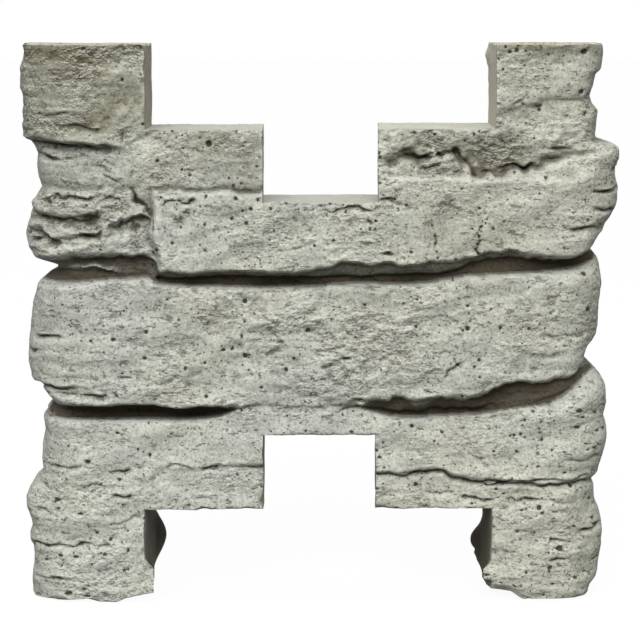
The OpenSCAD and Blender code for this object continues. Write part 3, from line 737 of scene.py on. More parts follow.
def cut_crevices(relief, recess_shades):
    """Cuts each crevice as a split ledge: steep above, a slope below, with painted shade along the line."""
    wobble_s = ripples(BENT_ACROSS)
    wobble_z = ripples(BENT_UP) * spread(WRIGGLING)
    uneven = np.clip(0.75 + ripples(BROKEN), 0.15, 1.8)
    for path, depth, half_width in CREVICES:
        part = near(path, 4 * half_width + 6)
        place_s, place_z = S[part] + wobble_s[part], Z[part] + wobble_z[part]
        gap, rise, along = distance_to_path(place_s, place_z, path)
        taper = np.clip(4 * along * (1 - along), 0, 1) ** 0.35
        lean = rise / np.maximum(gap, 0.1)
        half = half_width + 0.4 - 0.3 * np.clip(lean, 0, 1) + 1.6 * half_width * np.clip(-lean, 0, 1)
        groove = np.clip(1 - gap / half, 0, 1) ** 1.2 * taper
        broken = uneven[part] if depth < STEADY_DEPTH else 0.6 + 0.4 * uneven[part]
        lip = np.clip(1 - np.abs(gap - half) / (2 * half_width), 0, 1) * np.clip(lean, 0, 1) * taper
        relief[part] += (0.18 * lip - 1.15 * groove) * depth * broken
        line_dark = np.clip(1 - gap / (half_width + 0.3), 0, 1) * taper
        line_dark *= min(1.0, 0.3 + depth / 4) * np.clip(0.4 + 0.7 * broken, 0, 1)
        line_dark *= WIDE_SHADE if half_width > WIDE_CREVICE else 1.0
        recess_shades[part] = np.maximum(recess_shades[part], line_dark)


def raise_slivers(relief, joints, place_s, place_z):
    """Lets thin slivers of stone stand out of a joint."""
    for path, height, half_width in SLIVERS:
        part = near(path, half_width + 4)
        gap, _, along = distance_to_path(place_s[part], place_z[part], path)
        ridge = np.clip(1.3 - 1.3 * gap / half_width, 0, 1) * np.clip(5 * along * (1 - along), 0, 1)
        relief[part] += height * ridge
        joints[part] *= 1 - ridge


def pit(relief, recess_shades, s, z, radius):
    """One round air hole, with painted shade in it."""
    part = near([(s, z)], radius + 1)
    share = ((S[part] - s) ** 2 + (Z[part] - z) ** 2) / radius**2
    bowl = np.sqrt(np.clip(1 - share, 0, 1))
    relief[part] -= 1.25 * radius * bowl
    recess_shades[part] = np.maximum(recess_shades[part], bowl**0.5)


def nick_arrises(relief, recess_shades):
    """Small nicks along the front arrises of the notches, most of them close to the arris."""
    random = np.random.default_rng(92)
    for _, a, b, inward in NOTCH_SIDES:
        for _ in range(int(EDGE_NICKS * math.dist(a, b))):
            share = random.random()
            off = NICKED_BAND * random.random() ** 2
            s = random.choice((-1, 1)) * (a[0] + share * (b[0] - a[0]) + off * inward[0])
            z = a[1] + share * (b[1] - a[1]) + off * inward[1]
            pit(relief, recess_shades, s, z, 0.5 + 1.1 * random.random() ** 3)


def pepper_with_holes(relief, recess_shades):
    """Fine air holes all over the face, crowded where the concrete is open."""
    random = np.random.default_rng(91)
    for low_s, high_s, low_z, high_z, count in HOLED:
        for _ in range(count):
            s, z = random.uniform(low_s, high_s), random.uniform(low_z, high_z)
            pit(relief, recess_shades, s, z, 0.55 + 0.85 * random.random() ** 2.5)


def stains_and_shade():
    """How much darker each part of the face is painted: weathering stains, and painted shade over recesses,
    lit shoulders and the horns' tops.
    """
    stain_and_shade = np.zeros(S.shape)
    for low_s, high_s, low_z, high_z, share in STAIN_AND_SHADE_PATCHES:
        stain_and_shade = np.maximum(stain_and_shade, share * patch(low_s, high_s, low_z, high_z, DARKENING_FADE))
    return stain_and_shade * (1 + 0.25 * ripple(15, 18, 12))


def sunken(relief, radius, least, more):
    """How far a place lies below what is round it: 0 at the least depth, 1 at so much more."""
    return np.clip((blur(relief, radius) - relief - least) / more, 0, 1)


def stone_face():
    """The finished map of the face, and its maps of painted shade in crevices and holes, of hollows, of proud
    places, of stains with painted shade, of roughness and of painted joint shade.
    """
    wander_z = ripples(WANDER_UP)
    place_s = S + ripples(WANDER_ACROSS)
    place_z = Z + (wander_z + ripples(FRAYED) * spread(RAGGED)) * spread(CALM)
    relief, joints = stone_courses(place_s, place_z, Z + 0.3 * wander_z - 0.5)
    for low_s, high_s, bottom, top, inward in LEANS:
        fall = ease((top - Z) / (top - bottom))
        relief -= inward * patch(low_s, high_s, bottom, 2 * BLOCK_H, LEAN_FADE) * fall
    end = np.where(S < 0, line(LEFT_END, Z), line(RIGHT_END, Z))
    turned = ease((np.abs(S) - TURN_FROM) / TURN_RUN)
    relief += (end - relief) * turned
    relief += rock_roughness() * (1 - 0.6 * turned)
    recess_shades = np.zeros(S.shape)
    cut_crevices(relief, recess_shades)
    raise_slivers(relief, joints, place_s, place_z)
    for s, z, radius in AIR_HOLES:
        pit(relief, recess_shades, s, z, radius)
    nick_arrises(relief, recess_shades)
    pepper_with_holes(relief, recess_shades)
    relief = blur(np.minimum(relief, RELIEF - CLEARANCE), 0.45 * MESH_STEP)
    # Hollows sunk below their surroundings, to be painted darker: painted shade with dirt.
    hollows = np.maximum(sunken(relief, 2.5, 0.12, 1.8), sunken(relief, 10, 1.5, 9))
    hollows *= 1 - 0.7 * blur(joints, 2.0)
    rims = np.clip(3 * blur(joints > 0, 3.0), 0, 1)
    # Places that stand proud, away from the joints, are painted paler: a painted highlight.
    proud = np.clip((relief - blur(relief, 2.2)) / 0.9, 0, 1) * (1 - rims)
    return relief, {
        "recess_shade": recess_shades, "hollow": hollows, "proud": proud, "stain_and_shade": stains_and_shade(),
        "rugged": blur(spread(ROUGHER), 4.0), "joint": blur(joints, 0.5) * sunken(relief, 12, -1, 4),
    }


# ---------------------------------------------------------------------------------------------
# The block: a sheet with the outline of the teeth, drawn out to the back and bent to form.
# ---------------------------------------------------------------------------------------------

COLUMNS = [-SHEET_EDGE, -NOTCH_EDGE, -SLOT_EDGE, SLOT_EDGE, NOTCH_EDGE, SHEET_EDGE]
ROWS = [0, FOOT_SHELF, FOOT_ROOF, CROWN_FLOOR, CROWN_SHELF, BLOCK_H]

# Edges of the notches on one half of the block: (name, both ends, the way into the concrete).
NOTCH_SIDES = [
    ("horn top", (NOTCH_EDGE, BLOCK_H), (SHEET_EDGE, BLOCK_H), (0, -1)),
    ("horn wall", (NOTCH_EDGE, CROWN_SHELF), (NOTCH_EDGE, BLOCK_H), (1, 0)),
    ("crown shelf", (SLOT_EDGE, CROWN_SHELF), (NOTCH_EDGE, CROWN_SHELF), (0, -1)),
    ("crown slot wall", (SLOT_EDGE, CROWN_FLOOR), (SLOT_EDGE, CROWN_SHELF), (1, 0)),
    ("crown slot floor", (0, CROWN_FLOOR), (SLOT_EDGE, CROWN_FLOOR), (0, -1)),
    ("foot", (NOTCH_EDGE, 0), (SHEET_EDGE, 0), (0, 1)),
    ("foot wall", (NOTCH_EDGE, 0), (NOTCH_EDGE, FOOT_SHELF), (1, 0)),
    ("foot shelf", (SLOT_EDGE, FOOT_SHELF), (NOTCH_EDGE, FOOT_SHELF), (0, 1)),
    ("foot slot wall", (SLOT_EDGE, FOOT_SHELF), (SLOT_EDGE, FOOT_ROOF), (1, 0)),
    ("foot slot roof", (0, FOOT_ROOF), (SLOT_EDGE, FOOT_ROOF), (0, 1)),
]


def in_notch(x, z):
    """Whether a place on the sheet falls in one of the four notches."""
    x = abs(x)
    if x > NOTCH_EDGE:
        return False
    if x > SLOT_EDGE:
        return z > CROWN_SHELF or z < FOOT_SHELF
    return z > CROWN_FLOOR or z < FOOT_ROOF


def toothed_sheet():
    """Fine mesh of the face's outline, laid flat, with walls drawn out behind it to a back."""
    bm = bmesh.new()
    bmesh.ops.create_grid(bm, x_segments=1, y_segments=1, size=0.5)
    bmesh.ops.rotate(bm, verts=bm.verts, matrix=Matrix.Rotation(math.pi / 2, 3, "X"))
    bmesh.ops.scale(bm, verts=bm.verts, vec=(2 * SHEET_EDGE, 1, BLOCK_H))
    bmesh.ops.translate(bm, verts=bm.verts, vec=(0, 0, BLOCK_H / 2))
    for axis, lines in ((0, COLUMNS), (2, ROWS)):
        for place in lines[1:-1]:
            cut = Vector((0, 0, 0))
            cut[axis] = 1
            geometry = bm.verts[:] + bm.edges[:] + bm.faces[:]
            bmesh.ops.bisect_plane(bm, geom=geometry, dist=1e-4, plane_co=cut * place, plane_no=cut)
    gone = [f for f in bm.faces if in_notch(f.calc_center_median().x, f.calc_center_median().z)]
    bmesh.ops.delete(bm, geom=gone, context="FACES")
    for axis, lines in ((2, ROWS), (0, COLUMNS)):
        for low, high in zip(lines, lines[1:]):
            band = []
            for edge in bm.edges:
                a, b = edge.verts[0].co[axis], edge.verts[1].co[axis]
                if abs(b - a) > 0.5 * (high - low) and low < (a + b) / 2 < high:
                    band.append(edge)
            cuts = round((high - low) / MESH_STEP) - 1
            bmesh.ops.subdivide_edges(bm, edges=band, cuts=cuts, use_grid_fill=True)
    drawn = bmesh.ops.extrude_face_region(bm, geom=bm.faces[:])
    moved = [v for v in drawn["geom"] if isinstance(v, bmesh.types.BMVert)]
    bmesh.ops.translate(bm, verts=moved, vec=(0, DEPTH, 0))
    deep = [e for e in bm.edges if abs(e.verts[0].co.y - e.verts[1].co.y) > DEPTH / 2]
    cuts = round(DEPTH / WALL_STEP) - 1
    bmesh.ops.subdivide_edges(bm, edges=deep, cuts=cuts, use_grid_fill=True)
    bmesh.ops.recalc_face_normals(bm, faces=bm.faces)
    mesh = bpy.data.meshes.new("rock_faced_block")
    bm.to_mesh(mesh)
    bm.free()
    return mesh


def bend_round(s, stand):
    """Place across and place in depth of a point that stands out of the slab."""
    run = np.abs(s)
    turn = np.clip((run - FACE_HALF) / CORNER_R, 0, math.pi / 2)
    past = np.maximum(run - FACE_HALF - CORNER_LEN, 0)
    x = np.minimum(run, FACE_HALF) + (CORNER_R + stand) * np.sin(turn)
    y = SLAB_FRONT_Y + CORNER_R - (CORNER_R + stand) * np.cos(turn) + past
    return np.sign(s) * x, y


def bend_to_form(flat, relief):
    """Bends the flat sheet to the block: stones in front and on the ends, a flat back."""
    s, depth, z = flat.T
    t = depth / DEPTH
    side = np.where(s < 0, -1, 1)
    outer = np.clip((np.abs(s) - NOTCH_EDGE) / (SHEET_EDGE - NOTCH_EDGE), 0, 1)
    front = np.stack(bend_round(s, sample(relief, s, z)))
    edge_s = side * SHEET_EDGE
    front_edge = np.stack(bend_round(edge_s, sample(relief, edge_s, z)))
    back_stand = sample(relief, side * REACH, z)
    back_edge = np.stack(bend_round(side * REACH, back_stand))
    end_s = side * (SHEET_EDGE + depth)
    end = np.stack(bend_round(end_s, sample(relief, end_s, z)))
    back = np.stack([s + outer * (back_edge[0] - edge_s), np.full(s.shape, BACK_Y)])
    across, deep = (1 - t) * front + t * back + outer * (end - (1 - t) * front_edge - t * back_edge)
    wall_depth = t * (BACK_Y - front[1])
    return across, deep, wall_depth, side * (np.abs(s) + outer * depth)


def segment_distance(s, z, a, b):
    """Distance of places on one half of the sheet from an edge of a notch."""
    run = ((s - a[0]) * (b[0] - a[0]) + (z - a[1]) * (b[1] - a[1])) / math.dist(a, b) ** 2
    run = np.clip(run, 0, 1)
    return np.hypot(s - a[0] - run * (b[0] - a[0]), z - a[1] - run * (b[1] - a[1]))


class Skin:
    """Points of the block's skin, each with its place on the flat sheet and on the block.

    On the sheet a point has s, z and the depth it is drawn back, whose share of the whole is
    share. On the block it is at across, deep and up, at wall_depth behind the stone face, and
    position is where it falls on the map. squeezed and worn_and_highlit_edge are left by the walls' shaping.
    """

    def __init__(self, mesh, relief):
        flat = np.empty(len(mesh.vertices) * 3)
        mesh.vertices.foreach_get("co", flat)
        flat = flat.reshape(-1, 3)
        self.s, self.depth, self.z = flat.T
        self.share = self.depth / DEPTH
        self.side = np.where(self.s < 0, -1, 1)
        self.across, self.deep, self.wall_depth, self.position = bend_to_form(flat, relief)
        self.up = self.z.copy()
        self.behind = self.share > 0.999
        self.stony = (self.share < TOLERANCE) | (np.abs(self.s) > SHEET_EDGE - TOLERANCE)
        self.squeezed = np.zeros(self.s.shape)
        self.worn_and_highlit_edge = np.zeros(self.s.shape)


def beads_and_laps(skin):
    """Cement squeezed out at the back of the outer walls, and stone lapped over them in front."""
    beads = np.zeros(skin.s.shape)
    ragged = sample(ripple(106, 3, 2.6), skin.s, skin.z)
    for side, middle, half_height, reach, rags in BURRS:
        swell = ease(1 - np.abs(skin.z - middle) / half_height) * ease((skin.share - BEAD_START) / BEAD_RUN)
        beads += reach * swell * (skin.side == side) * (1 + rags * ragged)
    laps = np.zeros(skin.s.shape)
    for side, bottom, top, reach in LAPS:
        swell = ease((skin.z - bottom) / 6) * ease((top - skin.z) / 9)
        laps += reach * swell * ease(1 - skin.wall_depth / LAP_DEPTH) * (skin.side == side)
    return beads, laps


def shape_walls(skin):
    """Makes the notches' walls a little uneven and out of square, with worn arrises."""
    s, z, wall_depth = skin.s, skin.z, skin.wall_depth
    run_s, run_z = s + 0.6 * skin.depth, z + skin.depth
    uneven = np.clip(0.35 + sample(ripples(WALL_WAVES), run_s, run_z), 0, 1)
    uneven += np.clip(sample(ripples(WALL_GRAIN), run_s, run_z), 0, 1)
    worn = 1.6 + 2.2 * np.clip(sample(ripple(103, 6, 5), s, z), 0, 3) ** 1.5
    wear_front = np.clip(1 - wall_depth / worn, 0, 1) ** 2
    from_back = np.where(skin.share > 0.5, BACK_Y - skin.deep, BLOCK_T)
    wear_back = np.clip(1 - from_back / BACK_WEAR, 0, 1) ** 2
    beads, laps = beads_and_laps(skin)
    for name, a, b, inward in NOTCH_SIDES:
        off = segment_distance(np.abs(s), z, a, b)
        close = np.exp(-off / ARRIS_REACH)
        wear = 0.2 * worn * wear_front * np.clip(1 - off / worn, 0, 1) ** 2
        rub = 0.5 * wear_back * np.clip(1 - off / BACK_WEAR, 0, 1) ** 2
        push = uneven * close + wear + rub
        if name in ("horn wall", "foot wall"):
            push = push - (beads + laps) * close
            skin.squeezed = np.maximum(skin.squeezed, beads * close)
        for wall, side, start, more, run in WALL_LEANS:
            if wall == name:
                push = push + close * (skin.side == side) * (start + more * ease(wall_depth / run))
        if name == "crown slot floor":
            crumbs = 1.5 + 0.5 * sample(ripple(108, 5, 4), s, z)
            push = push - crumbs * np.exp(-off / 4) * ease(1 - wall_depth / CRUMB_DEPTH)
        skin.across += skin.side * inward[0] * push
        skin.up += inward[1] * push
        skin.deep += wear - rub
        # A rim along each front arris, later painted paler: wear with a painted highlight.
        rim = np.clip(1 - off / RIM_WIDTH, 0, 1) * np.clip(1 - wall_depth / RIM_WIDTH, 0, 1)
        skin.worn_and_highlit_edge = np.maximum(skin.worn_and_highlit_edge, rim)


def shape_back_and_tops(skin):
    """Lets the horns' tops and the left shelf fall to the back, and strikes the back off flat."""
    on_top = (np.abs(skin.z - BLOCK_H) < TOLERANCE) * TOP_FALL
    on_shelf = (np.abs(skin.z - CROWN_SHELF) < TOLERANCE) * (skin.s < 0) * SHELF_FALL
    fall = on_top + on_shelf
    skin.up -= fall * skin.wall_depth + (fall > 0) * 0.5 * ease(skin.wall_depth / 4)
    drag = np.clip(0.25 + sample(ripples(BACK_DRAGS), skin.s, skin.z), 0, 0.8)
    drag += np.clip(sample(ripples(BACK_GRAIN), skin.s, skin.z), 0, 0.5)
    skin.deep -= skin.behind * drag


def knock_about(skin, relief):
    """Breaks the feet's lower edges, and knocks the arrises in round some points."""
    low = np.clip(1 - skin.z / CHIP_HEIGHT, 0, 1)
    skin.up += line(FOOT_CHIPS, skin.position) * low * np.clip(1 - skin.share, 0, 1) ** 1.5
    for x, height, radius in KNOCKS:
        front_y = SLAB_FRONT_Y - sample(relief, np.array([x]), np.array([height]))[0]
        gap = np.sqrt((skin.across - x) ** 2 + (skin.deep - front_y) ** 2 + (skin.up - height) ** 2)
        push = 0.5 * np.clip(radius - gap, 0, radius)
        skin.deep += push
        if abs(x) != NOTCH_EDGE:
            skin.up += math.copysign(KNOCK_LEAN, BLOCK_H / 2 - height) * push
        if abs(x) in (NOTCH_EDGE, SLOT_EDGE):
            skin.across += math.copysign(KNOCK_LEAN, x) * push


def wall_coat(skin, coat):
    """How strong a coat of painted shade and dirt, or of painted shade and stain, lies on the walls, from the
    stone face to the back.
    """
    at_left, more_at_right, start, run = coat
    return (at_left + more_at_right * (skin.s > 0)) * ease((skin.wall_depth - start) / run)


def paint(mesh, skin, maps):
    """Stores each map on the mesh's points, with the cast faces' pale rims and walls, painted shade with dirt
    and stain, and painted shade on the beads.
    """
    z, stony, behind = skin.z, skin.stony, skin.behind
    layers = {name: sample(values, skin.position, z) * stony for name, values in maps.items()}

    # Proud places and the front arrises' rims are painted paler: a painted highlight, with wear at the
    # arrises.
    rims = np.maximum(layers["proud"], 0.5 * skin.worn_and_highlit_edge * (z < BLOCK_H - 3))
    # The cast faces on the right above the crown slot's floor are painted paler all over.
    pale_right_wall = ~stony & (skin.s > 0) & (z > CROWN_FLOOR + 2) & ~behind
    layers["proud"] = np.where(pale_right_wall, 0.9 + 0.15 * sample(ripple(107, 12, 20), skin.s, z), rims)

    layers["rugged"] = np.where(stony, layers["rugged"], CAST_RUGGED)

    # The walls between the feet are painted darker towards the back: painted shade with dirt and stain. The
    # left horn's walls are painted a little darker.
    foot_shade_and_dirt = wall_coat(skin, FOOT_WALL_SHADE_AND_DIRT)
    layers["hollow"] = np.where(stony | behind | (z > FOOT_SHELF - 1), layers["hollow"], foot_shade_and_dirt)

    wall_darkening = wall_coat(skin, FOOT_WALL_SHADE_AND_STAIN) * ease((FOOT_SHELF + 2 - z) / 4)
    wall_darkening += LEFT_HORN_WALL_DARKENING * (z > CROWN_SHELF + 1) * (skin.s < 0)
    layers["stain_and_shade"] = np.where(stony, layers["stain_and_shade"], wall_darkening * ~behind)

    # The beads of cement between the feet get the same painted shade as the crevices.
    dark = np.where(behind, (skin.squeezed - 6.5) / 2, skin.squeezed / 4)
    layers["recess_shade"] = np.maximum(layers["recess_shade"], 0.8 * ease(dark) * (z < FOOT_SHELF))

    for name, values in layers.items():
        layer = mesh.attributes.new(name, "FLOAT", "POINT")
        layer.data.foreach_set("value", values.astype(np.float32))


def rock_faced_block():
    """The whole block in one closed piece, with its maps stored on its points."""
    relief, maps = stone_face()
    mesh = toothed_sheet()
    skin = Skin(mesh, relief)
    shape_walls(skin)
    shape_back_and_tops(skin)
    knock_about(skin, relief)

    centres = np.empty(len(mesh.polygons) * 3)
    mesh.polygons.foreach_get("center", centres)
    centres = centres.reshape(-1, 3)
    cast = (centres[:, 1] > TOLERANCE) & (np.abs(centres[:, 0]) < SHEET_EDGE - TOLERANCE)
    mesh.polygons.foreach_set("material_index", cast.astype(np.int32))

    places = np.clip(np.stack([skin.across, skin.deep, skin.up], axis=1), LOW, HIGH)
    mesh.vertices.foreach_set("co", (places * MM).ravel())
    paint(mesh, skin, maps)
    mesh.update()

    block = bpy.data.objects.new("rock_faced_block", mesh)
    bpy.context.scene.collection.objects.link(block)
    return block


def thin_out(block, limit):
    """Merges the mesh's flattest places until it has no more triangles than the limit."""
    triangles = sum(len(p.vertices) - 2 for p in block.data.polygons)
    if triangles > limit:
        thin = block.modifiers.new("thin", "DECIMATE")
        thin.ratio = limit / triangles
        bpy.context.view_layer.objects.active = block
        bpy.ops.object.modifier_apply(modifier=thin.name)
    places = np.empty(3 * len(block.data.vertices))
    block.data.vertices.foreach_get("co", places)
    inside = np.clip(places.reshape(-1, 3), LOW * MM, HIGH * MM)
    block.data.vertices.foreach_set("co", inside.ravel())
    block.data.update()
    block.data.shade_smooth()
    block.data.set_sharp_from_angle(angle=SHARP_ANGLE)


# ---------------------------------------------------------------------------------------------
# Materials
# ---------------------------------------------------------------------------------------------


def srgb(red, green, blue):
    """A colour written in 0 to 255 display values."""
    parts = []
    for value in (red, green, blue):
        c = value / 255
        parts.append(c / 12.92 if c <= 0.04045 else ((c + 0.055) / 1.055) ** 2.4)
    return (*parts, 1.0)


# What weather, splitting and casting lay over the grey of the cement, and the painted light:
# painted highlights on faces that look up, on ledge tops and on proud places, and painted shade
# under ledges, in nicks, hollows, joints, air holes and crevices, and with the stains.
# Painted highlight: faces that look up are painted paler, as if lit from above.
SKY_FACING_HIGHLIGHT = srgb(214, 216, 213)
STAIN_AND_SHADE_TONE = srgb(150, 146, 126)
LEDGE_UNDERSIDE_SHADE = srgb(148, 142, 122)
LEDGE_TOP_HIGHLIGHT = srgb(222, 222, 214)
NICK_SHADE = srgb(74, 67, 52)
PROUD_RIM = srgb(205, 203, 192)
HOLLOW_SHADE_AND_DIRT = srgb(72, 66, 52)
JOINT_SHADE = srgb(58, 48, 32)
AIR_HOLE_SHADE = srgb(62, 57, 48)
RECESS_SHADE = srgb(46, 40, 30)

# How much of each coat shows at most.
SKY_FACING_HIGHLIGHT_SHARE = 0.3
LEDGE_SHADE_SHARE = 0.6
LEDGE_HIGHLIGHT_SHARE = 0.42
NICK_SHADE_SHARE = 0.7
RIM_SHARE = 0.35
HOLLOW_SHADE_AND_DIRT_SHARE = 0.75
HOLE_SHADE_SHARE = 0.75

# The finest relief is only bumps: depths in mm of the nicks and air holes, the tilt of the nicks in
# degrees, and the height of the ledges in mm times the scale of their noise.
NICK_DEPTH = 0.45
PINHOLE_DEPTH = 0.6
NICK_TILT = 12
LEDGE_HEIGHT = 150.0

# Nicks: (scale of the noise, how flat they lie, level under which one opens). Ledges: (scale, tilt
# in degrees, how flat they lie, rise in metres over which their slope is taken, share).
NICKS = [(52.0, 3.0, 0.375), (95.0, 2.6, 0.40), (210.0, 1.9, 0.39)]
LEDGES = [(105.0, 14, 1.6, 0.0013, 1.0), (270.0, -9, 1.25, 0.0008, 0.8)]


def add_node(tree, kind, **values):
    """Adds a node; a value is a property of the node, or goes to the input of that name."""
    node = tree.nodes.new(kind)
    for name, value in values.items():
        if hasattr(node, name):
            setattr(node, name, value)
        else:
            feed(tree, node.inputs[name.replace("_", " ")], value)
    return node


def feed(tree, socket, value):
    """Links another node's output to a socket, or sets the socket to a plain value."""
    if isinstance(value, bpy.types.NodeSocket):
        tree.links.new(value, socket)
    else:
        socket.default_value = value


def combine(tree, operation, a, b):
    """One step of arithmetic."""
    node = tree.nodes.new("ShaderNodeMath")
    node.operation = operation
    feed(tree, node.inputs[0], a)
    feed(tree, node.inputs[1], b)
    return node.outputs[0]


def noise(tree, place, scale, detail, roughness):
    """Value of cloudy noise, from 0 to 1."""
    node = add_node(
        tree, "ShaderNodeTexNoise", Vector=place, Scale=scale, Detail=detail, Roughness=roughness
    )
    return node.outputs["Fac"]


def object_place(tree):
    """Place on the block, in metres."""
    return add_node(tree, "ShaderNodeTexCoord").outputs["Object"]


def ramp(tree, value, low, high, to_low=0.0, to_high=1.0):
    """A value carried from one range to another, held at its ends."""
    node = add_node(
        tree, "ShaderNodeMapRange", Value=value, From_Min=low, From_Max=high, To_Min=to_low, To_Max=to_high
    )
    return node.outputs["Result"]


def blend(tree, share, a, b, how="MIX"):
    """Two colours mixed."""
    node = tree.nodes.new("ShaderNodeMix")
    node.data_type = "RGBA"
    node.blend_type = how
    for name, value in (("Factor_Float", share), ("A_Color", a), ("B_Color", b)):
        feed(tree, next(item for item in node.inputs if item.identifier == name), value)
    return next(item for item in node.outputs if item.identifier == "Result_Color")


def node_group(name, inputs, outputs):
    """An empty shader node group with named inputs and outputs, and its two ends."""
    tree = bpy.data.node_groups.new(name, "ShaderNodeTree")
    for label, value in inputs.items():
        kind = "NodeSocketColor" if isinstance(value, tuple) else "NodeSocketFloat"
        socket = tree.interface.new_socket(name=label, in_out="INPUT", socket_type=kind)
        socket.default_value = value
    for label, kind in outputs.items():
        tree.interface.new_socket(name=label, in_out="OUTPUT", socket_type=kind)
    return tree, tree.nodes.new("NodeGroupInput"), tree.nodes.new("NodeGroupOutput")


def cement_colour_group():
    """Mottled grey of old, weather-worn concrete, from broad clouds down to single grains."""
    tree, given, result = node_group(
        "cement colour",
        {"Cool Grey": srgb(168, 170, 163), "Warm Grey": srgb(172, 169, 153), "Mottling": 1.0, "Speckle": 1.0},
        {"Color": "NodeSocketColor"},
    )
    place = object_place(tree)
    cloud = ramp(tree, noise(tree, place, 9.0, 3.0, 0.6), 0.3, 0.7, -0.5, 0.5)
    axes = add_node(tree, "ShaderNodeSeparateXYZ", Vector=place)
    share = combine(tree, "ADD", cloud, ramp(tree, axes.outputs["X"], -0.2, 0.15, 0.25, 0.9))
    for low, high, more in ((0.1, 0.06, 0.45), (0.3, 0.34, 0.3)):
        share = combine(tree, "ADD", share, ramp(tree, axes.outputs["Z"], low, high, 0.0, more))
    colour = blend(tree, share, given.outputs["Cool Grey"], given.outputs["Warm Grey"])
    shade = ramp(tree, noise(tree, place, 70.0, 4.0, 0.65), 0.3, 0.7, -0.1, 0.1)
    shade = combine(tree, "MULTIPLY", shade, given.outputs["Mottling"])
    grain = noise(tree, place, 520.0, 2.0, 0.8)
    dark = ramp(tree, grain, 0.3, 0.5, -0.42, 0.0)
    light = ramp(tree, grain, 0.5, 0.75, 0.0, 0.3)
    speck = combine(tree, "MULTIPLY", combine(tree, "ADD", dark, light), given.outputs["Speckle"])
    tone = combine(tree, "ADD", combine(tree, "ADD", shade, speck), 1.0)
    grey = add_node(tree, "ShaderNodeCombineColor", Red=tone, Green=tone, Blue=tone)
    tree.links.new(blend(tree, 1.0, colour, grey.outputs["Color"], "MULTIPLY"), result.inputs["Color"])
    return tree


def tilted(tree, place, tilt, flat, shift=0.0):
    """A place moved up by a shift, tilted by some degrees and squashed flat."""
    node = add_node(
        tree, "ShaderNodeMapping", Vector=place, Location=(0, 0, shift),
        Rotation=(0, math.radians(tilt), 0), Scale=(1, 1, flat),
    )
    return node.outputs["Vector"]


def split_grain_group():
    """Gritty split surface: its height in mm, short sharp nicks, and masks of painted shade under its ledges
    and painted highlight on their tops, as if lit from above.
    """
    outputs = ("Height", "Nick", "Shaded Underside", "Lit Upper Side")
    tree, given, result = node_group(
        "split grain", {"Grit": 0.3, "Nicks": 1.0, "Ledges": 1.0}, dict.fromkeys(outputs, "NodeSocketFloat")
    )
    place = object_place(tree)
    grain = combine(tree, "SUBTRACT", noise(tree, place, 420.0, 3.0, 0.75), 0.5)
    grit = combine(tree, "MULTIPLY", grain, given.outputs["Grit"])
    nicks = None
    for scale, flat, low in NICKS:
        marks = noise(tree, tilted(tree, place, NICK_TILT, flat), scale, 4.0, 0.72)
        nick = ramp(tree, marks, low, low - 0.06)
        nicks = nick if nicks is None else combine(tree, "MAXIMUM", nicks, nick)
    nicks = combine(tree, "MULTIPLY", nicks, given.outputs["Nicks"])
    height = combine(tree, "SUBTRACT", grit, combine(tree, "MULTIPLY", nicks, NICK_DEPTH))
    slope = None
    for scale, tilt, flat, rise, share in LEDGES:
        here = noise(tree, tilted(tree, place, tilt, flat), scale, 5.0, 0.7)
        above = noise(tree, tilted(tree, place, tilt, flat, rise), scale, 5.0, 0.7)
        fall = combine(tree, "MULTIPLY", combine(tree, "SUBTRACT", above, here), share)
        slope = fall if slope is None else combine(tree, "ADD", slope, fall)
        ledge = combine(tree, "MULTIPLY", here, LEDGE_HEIGHT / scale)
        height = combine(tree, "ADD", height, combine(tree, "MULTIPLY", ledge, given.outputs["Ledges"]))
    slope = combine(tree, "MULTIPLY", slope, given.outputs["Ledges"])
    # Painted shade under the ledges and painted highlight on their tops, from their slope upwards.
    shaded_underside = ramp(tree, slope, 0.01, 0.14)
    lit_upper_side = ramp(tree, slope, -0.01, -0.14)
    for label, value in zip(outputs, (height, nicks, shaded_underside, lit_upper_side)):
        tree.links.new(value, result.inputs[label])
    return tree


def pinhole_group():
    """Fine air holes: a mask that is 1 in a hole, for a given spacing and share of the cells."""
    tree, given, result = node_group(
        "pinholes", {"Scale": 260.0, "Share": 0.3, "Size": 0.2}, {"Mask": "NodeSocketFloat"}
    )
    place = object_place(tree)
    cells = add_node(tree, "ShaderNodeTexVoronoi", Vector=place, Scale=given.outputs["Scale"])
    drawn = add_node(tree, "ShaderNodeSeparateColor", Color=cells.outputs["Color"])
    holed = combine(tree, "LESS_THAN", drawn.outputs["Red"], given.outputs["Share"])
    spread_of_sizes = ramp(tree, drawn.outputs["Green"], 0, 1, 0.5, 1.2)
    size = combine(tree, "MULTIPLY", given.outputs["Size"], spread_of_sizes)
    mask = ramp(tree, combine(tree, "SUBTRACT", size, cells.outputs["Distance"]), 0.0, 0.06)
    tree.links.new(combine(tree, "MULTIPLY", mask, holed), result.inputs["Mask"])
    return tree


def use_group(tree, group, **values):
    """Places a node group in a material with its own values."""
    node = add_node(tree, "ShaderNodeGroup", node_tree=group)
    for name, value in values.items():
        feed(tree, node.inputs[name.replace("_", " ")], value)
    return node


def recess_shade_share(tree, place, recess_shade):
    """How much of the painted shade in a crevice shows, with frayed edges."""
    fray = ramp(tree, noise(tree, place, 600.0, 3.0, 0.7), 0.3, 0.7, -0.3, 0.3)
    frayed = ramp(tree, combine(tree, "ADD", recess_shade, fray), 0.3, 0.6)
    return combine(tree, "MULTIPLY", frayed, ramp(tree, recess_shade, 0.05, 0.6, 0.3, 0.9))


def joint_share(tree, joint):
    """How much painted shade a joint gets: a first step under the stone, a second in its depth."""
    under_stone = combine(tree, "MULTIPLY", ramp(tree, joint, 0.2, 0.4), 0.48)
    deep = combine(tree, "MULTIPLY", ramp(tree, joint, 0.65, 0.9), 0.42)
    return combine(tree, "ADD", under_stone, deep)


